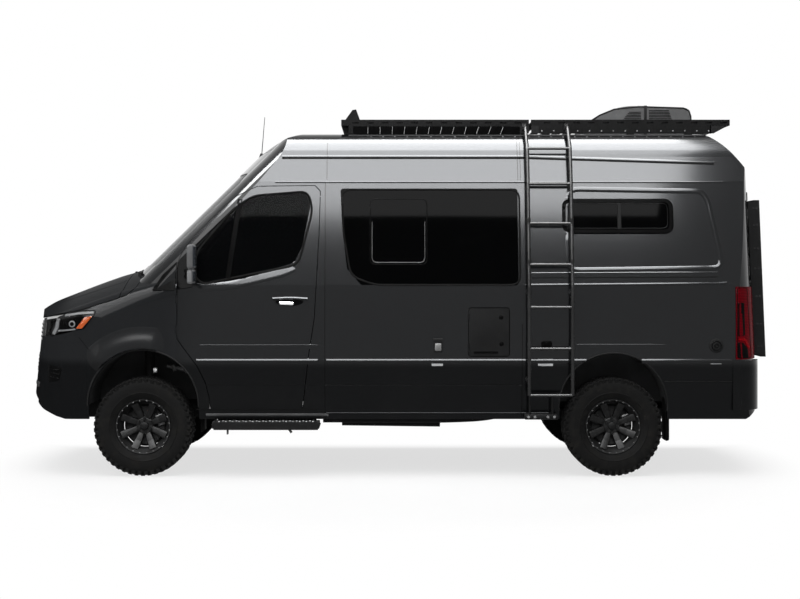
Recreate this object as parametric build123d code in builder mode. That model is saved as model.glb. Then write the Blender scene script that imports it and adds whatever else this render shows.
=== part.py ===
"""High-roof four-wheel-drive camper van, as an assembly of its real pieces.

Millimetres. +X runs from nose to tail, +Y to the vehicle's right, +Z up.
The origin lies on the ground, halfway along the overall length.
Stations along the body are given as distances behind the front axle (FA).
"""
import os
from build123d import *

os.makedirs("parts", exist_ok=True)

# ---------------------------------------------------------------- driving dimensions
WHEELBASE = 3665.0
FRONT_OVERHANG = 1004.0
REAR_OVERHANG = 1290.0          # to the back of the tow receiver
OVERALL_LENGTH = FRONT_OVERHANG + WHEELBASE + REAR_OVERHANG
FA = -OVERALL_LENGTH / 2 + FRONT_OVERHANG
RA = FA + WHEELBASE

HALF_WIDTH = 1010.0             # widest point of the side wall
SILL_Z = 446.0
FLOOR_Z = 720.0                 # top of the load floor
FLOOR_THICK = 50.0
RUB_Z = 910.0
BELT_Z = 1492.0
DRIP_Z = 2303.0                 # seam between side wall and roof
CREASE_Z = 2500.0
ROOF_Z = 2735.0
WALL = 46.0                     # side wall, door and roof thickness
SKIN = 22.0                     # hood, fender and bumper thickness
SHUT_GAP = 6.0                  # gap round every door and lid
SEAT_GAP = 0.3                  # gap where one piece rests on another
GLASS = 6.0
GLASS_INSET = 5.0               # outer glass face below the panel's outer face

TYRE_R = 387.0
TYRE_HALF_W = 122.5
RIM_R = 216.0
HALF_TRACK = 867.0
ARCH_R = 430.0
ARCH_Z = 555.0
ARCH_SHIFT = 8.0
REAR_ARCH_R = 420.0
REAR_ARCH_Z = 540.0

BIG = 4000.0                    # longer than any width that is cut through


# ---------------------------------------------------------------- body volumes
SECTION = (                     # half width, height: side wall from sill to drip seam
    (962.0, SILL_Z),
    (1004.0, RUB_Z),
    (HALF_WIDTH, 1120.0),
    (998.0, BELT_Z),
    (898.0, DRIP_Z),
    (845.0, CREASE_Z),
)
ROOF_CORNER = (775.0, 2635.0)
ROOF_SHOULDER = (610.0, 2696.0)


def wall_section(inset, bottom):
    """Closed cross-section of the body, inset evenly, on the YZ plane."""
    with BuildSketch() as face:
        with BuildLine():
            side = [(y - inset, z) for y, z in SECTION]
            if bottom < SILL_Z:
                Polyline((0, bottom), (side[0][0], bottom), side[0], side[1])
            else:
                Polyline((0, bottom), side[0], side[1])
            ThreePointArc(side[1], side[2], side[3])
            Line(side[3], side[4])
            Line(side[4], side[5])
            corner = (ROOF_CORNER[0] - inset * 0.8, ROOF_CORNER[1] - inset * 0.7)
            shoulder = (ROOF_SHOULDER[0] - inset * 0.3, ROOF_SHOULDER[1] - inset)
            ThreePointArc(side[5], corner, shoulder)
            ThreePointArc(shoulder, (shoulder[0] / 2, ROOF_Z - inset - 10), (0, ROOF_Z - inset))
            mirror(about=Plane.YZ)
        make_face()
    return face.sketch


DOOR_FRONT_X = FA + 267.0
PILLAR_FOOT_Z = 1447.0          # screen pillars stand on the fenders here
COWL_X = FA - 134.0             # foot of the screen at the middle
COWL_Z = 1605.0
RAKE_Z = 1734.0                 # height at which the screen's plan curve is given
SCREEN_X = FA - 2.0             # screen's middle at that height
SCREEN_RISE = 0.9806            # rise of the screen per mm back
SCREEN_CORNER = (FA + 130.0, 640.0)
PILLAR_CORNER = (FA + 278.0, 850.0)
TAIL_X = FA + 4866.0            # rear doors' middle at RUB_Z
TAIL_LEAN = 0.042               # forward lean of the rear doors per mm up
TAIL_CORNER = (TAIL_X - 62.0, 760.0)
TAIL_RISE = ((TAIL_X - 180.0, SILL_Z - 10), (TAIL_X + 60.0, 590.0))     # underside behind the rear wheels


def body_volume(inset, bottom):
    """Cab and load space as one solid: section, profile, screen and tail together."""
    with BuildPart() as volume:
        with BuildSketch(Plane.YZ.offset(FA - 900)):
            add(wall_section(inset, bottom))
        extrude(amount=6200)
        with BuildSketch(Plane.XZ):
            with BuildLine():
                Polyline((FA + 630, 2354 - inset), (COWL_X, COWL_Z - inset), (COWL_X, PILLAR_FOOT_Z),
                         (DOOR_FRONT_X, PILLAR_FOOT_Z), (DOOR_FRONT_X, 0), (TAIL_RISE[0][0] - inset, 0),
                         *[(x - inset, z + inset) for x, z in TAIL_RISE],
                         (TAIL_X + 200, TAIL_RISE[1][1] + inset), (TAIL_X + 200, 2290),
                         (TAIL_X - 78 - inset, 2290))
                ThreePointArc((TAIL_X - 78 - inset, 2290), (TAIL_X - 205 - inset * 0.8, 2485 - inset / 2),
                              (TAIL_X - 500, ROOF_Z - inset))
                Line((TAIL_X - 500, ROOF_Z - inset), (FA + 1560, ROOF_Z - inset))
                brow = (FA + 630, 2354 - inset)
                ThreePointArc((FA + 1560, ROOF_Z - inset), (FA + 1050, 2634 - inset), brow)
            make_face()
        extrude(amount=BIG, both=True, mode=Mode.INTERSECT)
        with BuildSketch(Plane.XY.offset(RAKE_Z)):
            with BuildLine():
                front = inset * 1.4
                edge = (PILLAR_CORNER[0] + front, PILLAR_CORNER[1] - inset * 0.4)
                bend = (SCREEN_CORNER[0] + front, SCREEN_CORNER[1])
                ThreePointArc(edge, ((edge[0] + bend[0]) / 2 - 22, (edge[1] + bend[1]) / 2 + 18), bend)
                ThreePointArc(bend, (SCREEN_X + front + 34, 330), (SCREEN_X + front, 0))
                Line(edge, (edge[0] + 190, 1100))
                Polyline((edge[0] + 190, 1100), (TAIL_X + 3000, 1100), (TAIL_X + 3000, 0))
                mirror(about=Plane.XZ)
            make_face()
        rake = Vector(1, 0, SCREEN_RISE)
        extrude(amount=2600, dir=rake, both=True, mode=Mode.INTERSECT)
        with BuildSketch(Plane.XY.offset(RUB_Z)):
            with BuildLine():
                back = (TAIL_X - inset, 0)
                bend = (TAIL_CORNER[0] - inset, TAIL_CORNER[1] - inset * 0.4)
                side = (TAIL_X - 260, 1030)
                ThreePointArc(back, ((back[0] + bend[0]) / 2 + 16, bend[1] / 2), bend)
                ThreePointArc(bend, (bend[0] - 50, bend[1] + 150), (side[0], side[1] - inset))
                Polyline((side[0], side[1] - inset), (FA - 3000, side[1] - inset), (FA - 3000, 0))
                mirror(about=Plane.XZ)
            make_face()
        lean = Vector(-TAIL_LEAN, 0, 1)
        extrude(amount=2600, dir=lean, both=True, mode=Mode.INTERSECT)
    return volume.part


NOSE_SECTIONS = (               # station, centre z, shoulder y, shoulder z, side y, side z
    (FA - 1060.0, 1276.0, 640.0, 1180.0, 905.0, 1010.0),
    (FA - 560.0, 1470.0, 745.0, 1316.0, 982.0, 1120.0),
    (FA - 60.0, 1640.0, 840.0, 1475.0, 1002.0, 1310.0),
    (DOOR_FRONT_X, 1730.0, 935.0, 1520.0, 1002.5, 1420.0),
)


NOSE_PLAN_Z = 720.0             # height at which the nose's plan curve is given
NOSE_LEAN = 0.1                 # sweep back of that curve per mm up


def nose_volume(inset, bottom):
    """Hood, fenders and front end as one solid."""
    with BuildPart() as volume:
        for station, top, shoulder_y, shoulder_z, side_y, side_z in NOSE_SECTIONS:
            with BuildSketch(Plane.YZ.offset(station)):
                with BuildLine():
                    sill = (SECTION[0][0] - inset, SILL_Z)
                    rub = (side_y - 4 - inset, RUB_Z)
                    side = (side_y - inset, side_z - inset / 2)
                    shoulder = (shoulder_y - inset / 2, shoulder_z - inset)
                    crown = (0, top - inset)
                    if bottom < SILL_Z:
                        Polyline((0, bottom), (sill[0], bottom), sill, rub)
                    else:
                        Polyline((0, bottom), sill, rub)
                    ThreePointArc(rub, (side_y + 0.5 - inset, (RUB_Z + side_z) / 2), side)
                    mid = (shoulder[0] * 0.42 + side[0] * 0.58 + 30, shoulder[1] * 0.58 + side[1] * 0.42 + 24)
                    ThreePointArc(side, mid, shoulder)
                    ThreePointArc(shoulder, (shoulder[0] / 2, shoulder[1] * 0.27 + crown[1] * 0.73), crown)
                    mirror(about=Plane.YZ)
                make_face()
        loft()
        with BuildSketch(Plane.XZ):
            with BuildLine():
                Polyline((DOOR_FRONT_X, bottom), (FA - 610 + inset, bottom), (FA - 680 + inset, 466 + inset),
                         (FA - 800 + inset, 516 + inset), (FA - 890 + inset, 575 + inset),
                         (FA - 1000 + inset, 630 + inset / 2), (FA - 1004 + inset, 700),
                         (FA - 974 + inset, 735), (FA - 968 + inset, 1060), (FA - 935 + inset, 1200))
                ThreePointArc((FA - 935 + inset, 1200), (FA - 890 + inset, 1300 - inset),
                              (FA - 800, 1366 - inset))
                Polyline((FA - 800, 1366 - inset), (FA - 380, 1536 - inset), (FA - 210, 1577 - inset),
                         (FA - 150, 1597 - inset), (DOOR_FRONT_X, 1640 - inset), (DOOR_FRONT_X, bottom))
            make_face()
        extrude(amount=BIG, both=True, mode=Mode.INTERSECT)
        with BuildSketch(Plane.XY.offset(NOSE_PLAN_Z)):
            with BuildLine():
                tip = (FA - 1004 + inset, 0)
                cheek = (FA - 866 + inset, 690.0)
                flank = (FA - 640, 940.0 - inset)
                ThreePointArc(tip, (FA - 976 + inset, 350), cheek)
                ThreePointArc(cheek, (FA - 800 + inset * 0.8, 845 - inset * 0.5), flank)
                Polyline(flank, (FA - 300, 1008 - inset), (DOOR_FRONT_X + 100, 1040 - inset),
                         (DOOR_FRONT_X + 100, 0))
                mirror(about=Plane.XZ)
            make_face()
        extrude(amount=2000, dir=Vector(NOSE_LEAN, 0, 1), both=True, mode=Mode.INTERSECT)
    return volume.part


def rounded_prism(plane, points, depth, radius=0.0, grow=0.0):
    """Prism of a closed outline on a plane, both ways from it, grown and rounded."""
    with BuildPart() as prism:
        with BuildSketch(plane):
            with BuildLine():
                Polyline(*points, close=True)
            make_face()
            if radius:
                fillet(vertices(), radius)
            if grow:
                offset(amount=grow, kind=Kind.INTERSECTION)
        extrude(amount=depth, both=True)
    return prism.part


def side_cut(points, side, radius=0.0, grow=0.0):
    """Side view outline cut through one side wall: side is -1 on the left, +1 on the right."""
    return rounded_prism(Plane.XZ.offset(-side * 900), points, 320, radius, grow)


def tail_cut(points, radius=0.0, grow=0.0):
    """Rear view outline cut through the tail."""
    return rounded_prism(Plane.YZ.offset(TAIL_X), points, 240, radius, grow)


def box_between(low, high):
    """Solid box from its lowest to its highest corner."""
    size = [b - a for a, b in zip(low, high)]
    middle = [(a + b) / 2 for a, b in zip(low, high)]
    with BuildPart() as block:
        with Locations(tuple(middle)):
            Box(*size)
    return block.part


def save(piece, name):
    """Label one finished piece and write its STEP file."""
    piece.part.label = name
    export_step(piece.part, "parts/" + name + ".step")


# ---------------------------------------------------------------- outlines in side view
DOOR_REAR_X = FA + 1377.0
DOOR = (
    (DOOR_FRONT_X + SHUT_GAP, 1075.0), (FA + 345.0, 975.0), (FA + 430.0, 860.0), (FA + 490.0, 735.0),
    (FA + 520.0, 620.0), (FA + 525.0, 525.0), (FA + 1240.0, 525.0), (FA + 1265.0, 730.0),
    (FA + 1290.0, 950.0), (FA + 1333.0, 1226.0), (FA + 1346.0, 1450.0), (DOOR_REAR_X - 8, 1900.0),
    (DOOR_REAR_X, 2225.0), (DOOR_REAR_X - 40, 2268.0), (FA + 889.0, 2262.0), (FA + 719.0, 2190.0),
    (FA + 614.0, 2112.0), (FA + 404.0, 1903.0), (FA + 305.0, 1776.0),
    (DOOR_FRONT_X + SHUT_GAP, 1700.0),
)
DOOR_WINDOW = (
    (FA + 425.0, 1500.0), (FA + 385.0, 1790.0), (FA + 701.0, 2096.0), (FA + 790.0, 2160.0),
    (FA + 940.0, 2200.0), (FA + 1245.0, 2226.0), (FA + 1305.0, 2185.0), (FA + 1300.0, 2090.0),
    (FA + 1240.0, 1790.0), (FA + 1180.0, 1668.0), (FA + 940.0, 1588.0), (FA + 675.0, 1511.0),
)
BIG_WINDOW = (
    (FA + 1536.0, 2247.0), (FA + 1571.0, 1772.0), (FA + 1590.0, 1620.0), (FA + 1700.0, 1492.0),
    (FA + 2925.0, 1488.0), (FA + 2925.0, 2247.0),
)
REAR_WINDOW = (
    (FA + 3272.0, 1888.0), (FA + 4141.0, 1888.0), (FA + 4141.0, 2167.0), (FA + 3272.0, 2167.0),
)
SLIDING_DOOR = (
    (FA + 1440.0, 560.0), (FA + 2780.0, 560.0), (FA + 2780.0, 2262.0), (FA + 1440.0, 2262.0),
)
HATCH = (
    (FA + 2537.0, 940.0), (FA + 2851.0, 940.0), (FA + 2851.0, 1313.0), (FA + 2537.0, 1313.0),
)
SCREEN = (
    (-800.0, 1640.0), (800.0, 1640.0), (700.0, 2300.0),
    (620.0, 2385.0), (-620.0, 2385.0), (-700.0, 2300.0),
)
HOOD_SIDE = (
    (FA - 1100.0, 1198.0), (FA - 905.0, 1214.0), (FA - 700.0, 1262.0), (FA - 510.0, 1296.0),
    (FA - 217.0, 1384.0), (FA - 130.0, 1416.0), (FA - 85.0, 1461.0), (FA - 60.0, 1540.0),
    (FA - 165.0, 1800.0), (FA - 1100.0, 1800.0),
)
LAMP = (
    (FA - 1010.0, 1200.0), (FA - 700.0, 1256.0), (FA - 505.0, 1282.0), (FA - 430.0, 1276.0),
    (FA - 475.0, 1205.0), (FA - 560.0, 1128.0), (FA - 650.0, 1105.0), (FA - 1010.0, 1060.0),
)
REAR_DOOR_HALF = 790.0
REAR_DOOR_Z = (700.0, 2268.0)
REAR_GLASS = ((-690.0, 1520.0), (-90.0, 1520.0), (-90.0, 2160.0), (-660.0, 2160.0))

# ---------------------------------------------------------------- shells that all panels are cut from
HOUSE_Y = 522.0                 # inner wall of the front wheel houses
REAR_HOUSE_Y = 700.0
ARCH_X = FA + ARCH_SHIFT


def wheel_house(axle_x, radius, centre_z, inner_y, side):
    """Arch space from its inner wall outward, open below."""
    with BuildPart() as house:
        with BuildSketch(Plane.XZ.offset(-side * inner_y)):
            with Locations((axle_x, centre_z)):
                Circle(radius)
            with Locations((axle_x, centre_z / 2)):
                Rectangle(2 * radius, centre_z)
        extrude(amount=-side * 700)
    return house.part


cab_outer = body_volume(0, SILL_Z)
cab_inner = body_volume(WALL, SILL_Z - 100)
nose_outer = nose_volume(0, SILL_Z)
nose_inner = nose_volume(SKIN, SILL_Z - 100)
houses = [wheel_house(ARCH_X, ARCH_R, ARCH_Z, HOUSE_Y, side) for side in (-1, 1)]
houses += [wheel_house(RA, REAR_ARCH_R, REAR_ARCH_Z, REAR_HOUSE_Y, side) for side in (-1, 1)]

with BuildPart() as cab_shell:
    add(cab_outer)
    add(cab_inner, mode=Mode.SUBTRACT)
    add(houses, mode=Mode.SUBTRACT)

with BuildPart() as nose_shell:
    add(nose_outer)
    add(nose_inner, mode=Mode.SUBTRACT)
    add(cab_outer, mode=Mode.SUBTRACT)
    add(houses, mode=Mode.SUBTRACT)

glass_outer = body_volume(GLASS_INSET, SILL_Z)
glass_inner = body_volume(GLASS_INSET + GLASS, SILL_Z - 50)
with BuildPart() as glass_shell:
    add(glass_outer)
    add(glass_inner, mode=Mode.SUBTRACT)

# ---------------------------------------------------------------- body panels
REAR_DOOR_SEAM = 4.0            # half the gap between the two rear doors
NOSE_END = FA - 1100.0
BUMPER_TOP_Z = 1040.0
BUMPER_BACK_X = FA - 440.0

BODY_FRONT = FA - 300
BODY_BACK = TAIL_X + 300

PIN_R = 2.5                     # hinge pins
PIN_GAP = 0.06                  # radial running gap round a pin
BARREL_R = 5.0
BARREL_LENGTH = 30.0
EAR_LENGTH = 14.0
HINGE_REACH = 17.0              # how far ears and barrel arms run into their panels
HINGE_PLAY = 1.0


def hinge(at, axis, fixed_way, moving_way):
    """Fixed ears with their pin, the space round the barrel, the barrel, and the ears' space."""
    ear_middle = (BARREL_LENGTH + EAR_LENGTH) / 2 + HINGE_PLAY
    with BuildPart(Plane(origin=at, x_dir=fixed_way, z_dir=axis)) as ears:
        Cylinder(PIN_R, 2 * ear_middle + EAR_LENGTH)
        for sign in (-1, 1):
            with Locations((0, 0, sign * ear_middle)):
                Cylinder(BARREL_R, EAR_LENGTH)
            with Locations((HINGE_REACH / 2, 0, sign * ear_middle)):
                Box(HINGE_REACH, 2 * BARREL_R - 2, EAR_LENGTH)
    with BuildPart(Plane(origin=at, z_dir=axis)) as barrel_space:
        Cylinder(BARREL_R + HINGE_PLAY, BARREL_LENGTH + 2 * HINGE_PLAY)
    with BuildPart(Plane(origin=at, x_dir=moving_way, z_dir=axis)) as barrel:
        Cylinder(BARREL_R, BARREL_LENGTH)
        with Locations((HINGE_REACH / 2, 0, 0)):
            Box(HINGE_REACH, 2 * BARREL_R - 2, BARREL_LENGTH)
    with BuildPart(Plane(origin=at, z_dir=axis)) as ear_space:
        for sign in (-1, 1):
            with Locations((0, 0, sign * ear_middle)):
                Cylinder(BARREL_R + HINGE_PLAY, EAR_LENGTH + HINGE_PLAY)
    with BuildPart(Plane(origin=at, z_dir=axis)) as pin_hole:
        Cylinder(PIN_R + PIN_GAP, BARREL_LENGTH + 2 * HINGE_PLAY)
    return ears.part, barrel_space.part, barrel.part, ear_space.part, pin_hole.part


def panel(name, source, keep=(), remove=(), hung=(), holds=()):
    """One finished piece: the source kept inside some solids and cut by others.

    hung lists the hinges that carry the piece, holds those whose pins it carries."""
    with BuildPart() as piece:
        add(source)
        for solid in keep:
            add(solid, mode=Mode.INTERSECT)
        for solid in remove:
            add(solid, mode=Mode.SUBTRACT)
        for ears, barrel_space, _, _, _ in holds:
            add(barrel_space, mode=Mode.SUBTRACT)
            add(ears)
        for _, _, barrel, ear_space, pin_hole in hung:
            add(ear_space, mode=Mode.SUBTRACT)
            add(barrel)
            add(pin_hole, mode=Mode.SUBTRACT)
    save(piece, name)
    return piece.part


HOOD_BACK_X = FA - 190.0
DOOR_HINGE_Z = (1150.0, 1380.0)
TAIL_HINGE_Z = (1000.0, 2050.0)
HATCH_HINGE_Z = (1010.0, 1240.0)
HINGE_Y = HALF_WIDTH + 0.5
TAIL_HINGE_X = TAIL_X - 63.0    # at RUB_Z
HOOD_HINGE_X = HOOD_BACK_X + 3.0
HOOD_HINGE_Z = 1588.0
HATCH_FRONT_X = FA + 2537.0
tail_axis = (-TAIL_LEAN, 0, 1)
door_hinges = {side: [hinge((DOOR_FRONT_X, side * HINGE_Y, z), (0, 0, 1), (-1, -side, 0), (1, -side, 0))
                      for z in DOOR_HINGE_Z] for side in (-1, 1)}
tail_hinges = {side: [hinge((TAIL_HINGE_X - (z - RUB_Z) * TAIL_LEAN, side * (REAR_DOOR_HALF + 3), z),
                            tail_axis, (-1, side, 0), (-1, -side, 0))
                      for z in TAIL_HINGE_Z] for side in (-1, 1)}
hatch_hinges = [hinge((HATCH_FRONT_X, -HINGE_Y, z), (0, 0, 1), (-1, 1, 0), (1, 1, 0)) for z in HATCH_HINGE_Z]
hood_hinges = [hinge((HOOD_HINGE_X, y, HOOD_HINGE_Z), (0, 1, 0), (1, 0, -1), (-1, 0, -1)) for y in (-200, 200)]


door_holes = {side: side_cut(DOOR, side, grow=SHUT_GAP) for side in (-1, 1)}
screen_hole = rounded_prism(Plane.YZ.offset(FA + 300), SCREEN, 620, radius=70)
low_z, high_z = REAR_DOOR_Z
tail_outline = (
    (-REAR_DOOR_HALF, low_z), (REAR_DOOR_HALF, low_z), (REAR_DOOR_HALF, high_z), (-REAR_DOOR_HALF, high_z),
)
tail_hole = tail_cut(tail_outline, grow=SHUT_GAP)
TAIL_SILL_Z = 655.0             # lower edge of the body between the bumper's ends
tail_foot = box_between((FA + 4600, -REAR_DOOR_HALF, 0), (BODY_BACK, REAR_DOOR_HALF, TAIL_SILL_Z))

panel("roof", cab_shell.part,
      keep=[box_between((BODY_FRONT, -BIG, DRIP_Z), (BODY_BACK, BIG, BIG))],
      remove=[screen_hole])
panel("side_left", cab_shell.part,
      keep=[box_between((BODY_FRONT, -BIG, 0), (BODY_BACK, -1, DRIP_Z))],
      remove=[screen_hole, door_holes[-1], tail_hole, tail_foot, side_cut(BIG_WINDOW, -1, 24),
              side_cut(REAR_WINDOW, -1, 70), side_cut(HATCH, -1, 20, grow=SHUT_GAP)],
      holds=tail_hinges[-1] + hatch_hinges)
panel("side_right", cab_shell.part,
      keep=[box_between((BODY_FRONT, 1, 0), (BODY_BACK, BIG, DRIP_Z))],
      remove=[screen_hole, door_holes[1], tail_hole, tail_foot, side_cut(REAR_WINDOW, 1, 70),
              side_cut(SLIDING_DOOR, 1, 50, grow=SEAT_GAP)],
      holds=tail_hinges[1])
panel("windshield", glass_shell.part,
      keep=[rounded_prism(Plane.YZ.offset(FA + 300), SCREEN, 620, radius=70, grow=-SEAT_GAP)])
panel("service_hatch", cab_shell.part, keep=[side_cut(HATCH, -1, 20)], hung=hatch_hinges)

for side, name in ((-1, "left"), (1, "right")):
    panel("front_door_" + name, cab_shell.part,
          keep=[side_cut(DOOR, side)], remove=[side_cut(DOOR_WINDOW, side, 24)], hung=door_hinges[side])
    panel("door_glass_" + name, glass_shell.part,
          keep=[side_cut(DOOR_WINDOW, side, 24, grow=-SEAT_GAP)])

SLIDE_WINDOW = (
    (FA + 1560.0, 1500.0), (FA + 2660.0, 1500.0), (FA + 2660.0, 2200.0), (FA + 1560.0, 2200.0),
)
panel("sliding_door", cab_shell.part,
      keep=[side_cut(SLIDING_DOOR, 1, 50)], remove=[side_cut(SLIDE_WINDOW, 1, 60)])
with BuildPart() as panes:
    add([side_cut(BIG_WINDOW, -1, 24, grow=-SEAT_GAP), side_cut(REAR_WINDOW, -1, 70, grow=-SEAT_GAP),
         side_cut(REAR_WINDOW, 1, 70, grow=-SEAT_GAP), side_cut(SLIDE_WINDOW, 1, 60, grow=-SEAT_GAP)])
panel("side_windows", glass_shell.part, keep=[panes.part])

for side, name in ((-1, "left"), (1, "right")):
    inner, edge = side * REAR_DOOR_SEAM, side * REAR_DOOR_HALF
    leaf = tail_cut(((inner, low_z), (edge, low_z), (edge, high_z), (inner, high_z)))
    pane = [(-side * y, z) for y, z in REAR_GLASS]
    panel("rear_door_" + name, cab_shell.part, keep=[leaf], remove=[tail_cut(pane, 50)],
          hung=tail_hinges[side])
    panel("rear_glass_" + name, glass_shell.part, keep=[tail_cut(pane, 50, grow=-SEAT_GAP)])

# ---------------------------------------------------------------- nose panels
GRILLE_HALF = 560.0
GRILLE_Z = (BUMPER_TOP_Z + SEAT_GAP, 1192.0)
grille_box = box_between((NOSE_END, -GRILLE_HALF, GRILLE_Z[0]), (FA - 700, GRILLE_HALF, GRILLE_Z[1]))
grille_hole = box_between((NOSE_END, -GRILLE_HALF - SEAT_GAP, 0), (FA - 600, GRILLE_HALF + SEAT_GAP, BIG))
front_end = box_between((NOSE_END, -BIG, 0), (BUMPER_BACK_X, BIG, BUMPER_TOP_Z))
front_hole = box_between((NOSE_END, -BIG, 0), (BUMPER_BACK_X + SEAT_GAP, BIG, BUMPER_TOP_Z + SEAT_GAP))
hood_cut = rounded_prism(Plane.XZ, HOOD_SIDE, BIG)
hood_hole = rounded_prism(Plane.XZ, HOOD_SIDE, BIG, grow=SHUT_GAP)

panel("hood", nose_shell.part,
      keep=[hood_cut, box_between((NOSE_END, -BIG, 0), (HOOD_BACK_X, BIG, BIG))], hung=hood_hinges)
panel("cowl", nose_shell.part,
      keep=[hood_cut, box_between((HOOD_BACK_X + SHUT_GAP, -BIG, 0), (FA + 300, BIG, BIG))],
      holds=hood_hinges)
panel("front_bumper", nose_shell.part, keep=[front_end])
panel("grille", nose_shell.part, keep=[grille_box])
with BuildPart() as lamp_pair:
    add([side_cut(LAMP, side) for side in (-1, 1)])
panel("headlamps", nose_shell.part, keep=[lamp_pair.part], remove=[grille_hole, front_hole, hood_hole])
panel("fenders", nose_shell.part,
      remove=[front_hole, grille_hole, hood_hole, side_cut(LAMP, -1, grow=SEAT_GAP),
              side_cut(LAMP, 1, grow=SEAT_GAP)],
      holds=door_hinges[-1] + door_hinges[1])

# ---------------------------------------------------------------- floor and wheel house liners
LINER = 6.0
LINER_EDGE_Y = 960.0
RAIL_Y = 480.0
RAIL_HALF = 35.0
RAIL_Z = (560.0, FLOOR_Z - FLOOR_THICK - SEAT_GAP)
FLOOR_FRONT_X = FA + 60.0
DASH_WALL_Z = 1400.0


def liner(axle_x, radius, centre_z, inner_y, side):
    """Pressed wheel house: an arch over the tyre, closed at its inner end."""
    reach = LINER_EDGE_Y - inner_y
    with BuildPart() as arch:
        with BuildSketch(Plane.XZ.offset(-side * inner_y)):
            with Locations((axle_x, centre_z)):
                Circle(radius + LINER)
            with Locations((axle_x, centre_z / 2)):
                Rectangle(2 * (radius + LINER), centre_z)
        extrude(amount=-side * reach)
        with BuildSketch(Plane.XZ.offset(-side * (inner_y + LINER))):
            with Locations((axle_x, centre_z)):
                Circle(radius)
            with Locations((axle_x, centre_z / 2)):
                Rectangle(2 * radius, centre_z)
        extrude(amount=-side * reach, mode=Mode.SUBTRACT)
        with Locations((axle_x, 0, RAIL_Z[0] / 2)):
            Box(4 * radius, BIG, RAIL_Z[0], mode=Mode.SUBTRACT)
    return arch.part


HOUSES = (                      # axle, arch radius, arch centre height, inner wall, side
    (ARCH_X, ARCH_R, ARCH_Z, HOUSE_Y, -1), (ARCH_X, ARCH_R, ARCH_Z, HOUSE_Y, 1),
    (RA, REAR_ARCH_R, REAR_ARCH_Z, REAR_HOUSE_Y, -1), (RA, REAR_ARCH_R, REAR_ARCH_Z, REAR_HOUSE_Y, 1),
)
liners = [liner(*row) for row in HOUSES]
floor_space = body_volume(WALL + SEAT_GAP, 0)
door_space = body_volume(WALL + SHUT_GAP, 0)
nose_space = nose_volume(SKIN + SEAT_GAP, 0)
with BuildPart() as wall_clear:
    add(cab_outer)
    add(floor_space, mode=Mode.SUBTRACT)
with BuildPart() as skin_clear:
    add(nose_outer)
    add(nose_space, mode=Mode.SUBTRACT)
with BuildPart() as arch_liners:
    add(liners)
    add([wall_clear.part, skin_clear.part], mode=Mode.SUBTRACT)
save(arch_liners, "arch_liners")

floor_cuts = [wheel_house(x, r + LINER + SEAT_GAP, z, y - SEAT_GAP, side) for x, r, z, y, side in HOUSES]
FLOOR_STEP_X = FA + 1410.0       # behind the front doors
FLOOR_END_X = TAIL_X - 120.0


def floor_slab(start, end, half):
    """Level slab of floor between two stations."""
    return box_between((start, -half, FLOOR_Z - FLOOR_THICK), (end, half, FLOOR_Z))


rear_slab = floor_slab(FLOOR_STEP_X, FLOOR_END_X, HALF_WIDTH)
door_slab = floor_slab(DOOR_FRONT_X, FLOOR_STEP_X, HALF_WIDTH)
toe_slab = floor_slab(FLOOR_FRONT_X, DOOR_FRONT_X + 60, HOUSE_Y)
bulkhead = box_between((FLOOR_FRONT_X, -HALF_WIDTH, FLOOR_Z - FLOOR_THICK),
                       (FLOOR_FRONT_X + 40, HALF_WIDTH, DASH_WALL_Z))
with BuildPart() as rear_floor:
    add(rear_slab)
    add(floor_space, mode=Mode.INTERSECT)
with BuildPart() as door_floor:
    add(door_slab)
    add(door_space, mode=Mode.INTERSECT)
with BuildPart() as dash_wall:
    add(bulkhead)
    add(nose_space, mode=Mode.INTERSECT)
with BuildPart() as floor_pan:
    add([rear_floor.part, door_floor.part, dash_wall.part, toe_slab])
    add(floor_cuts, mode=Mode.SUBTRACT)
save(floor_pan, "floor_pan")

# ---------------------------------------------------------------- wheels
RIM_SEAT_R = 206.0
RIM_INNER_R = 194.0
RIM_HALF_W = 104.0
FLANGE = 10.0
HUB_R = 62.0
SPINDLE_R = 24.0
SPINDLE_GAP = 0.3
HUB_END = -45.0                 # inner end of the hub, from the tyre's middle plane
HUB_FACE = 30.0
BORE_END = 10.0
DISC_R = 152.0
DISC_FACES = (-40.0, -16.0)
SPOKES = 8
SPOKE_W = 44.0
TYRE_PROFILE = (                # radius, offset from the middle plane
    (RIM_SEAT_R + SEAT_GAP, 92.0), (224.0, 93.0), (240.0, 100.0), (300.0, TYRE_HALF_W), (345.0, 119.0),
    (371.0, 108.0), (TYRE_R, 88.0),
)


def wheel_plane(axle_x, side):
    """Plane through a wheel's axis: X is the radius, Y is the offset outward."""
    return Plane(origin=(axle_x, side * HALF_TRACK, TYRE_R), x_dir=(1, 0, 0), z_dir=(0, 0, side))


def ring(plane, points, axis):
    """Body turned from a closed half section."""
    with BuildPart() as turned:
        with BuildSketch(plane):
            with BuildLine():
                Polyline(*points, close=True)
            make_face()
        revolve(axis=axis)
    return turned.part


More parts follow.
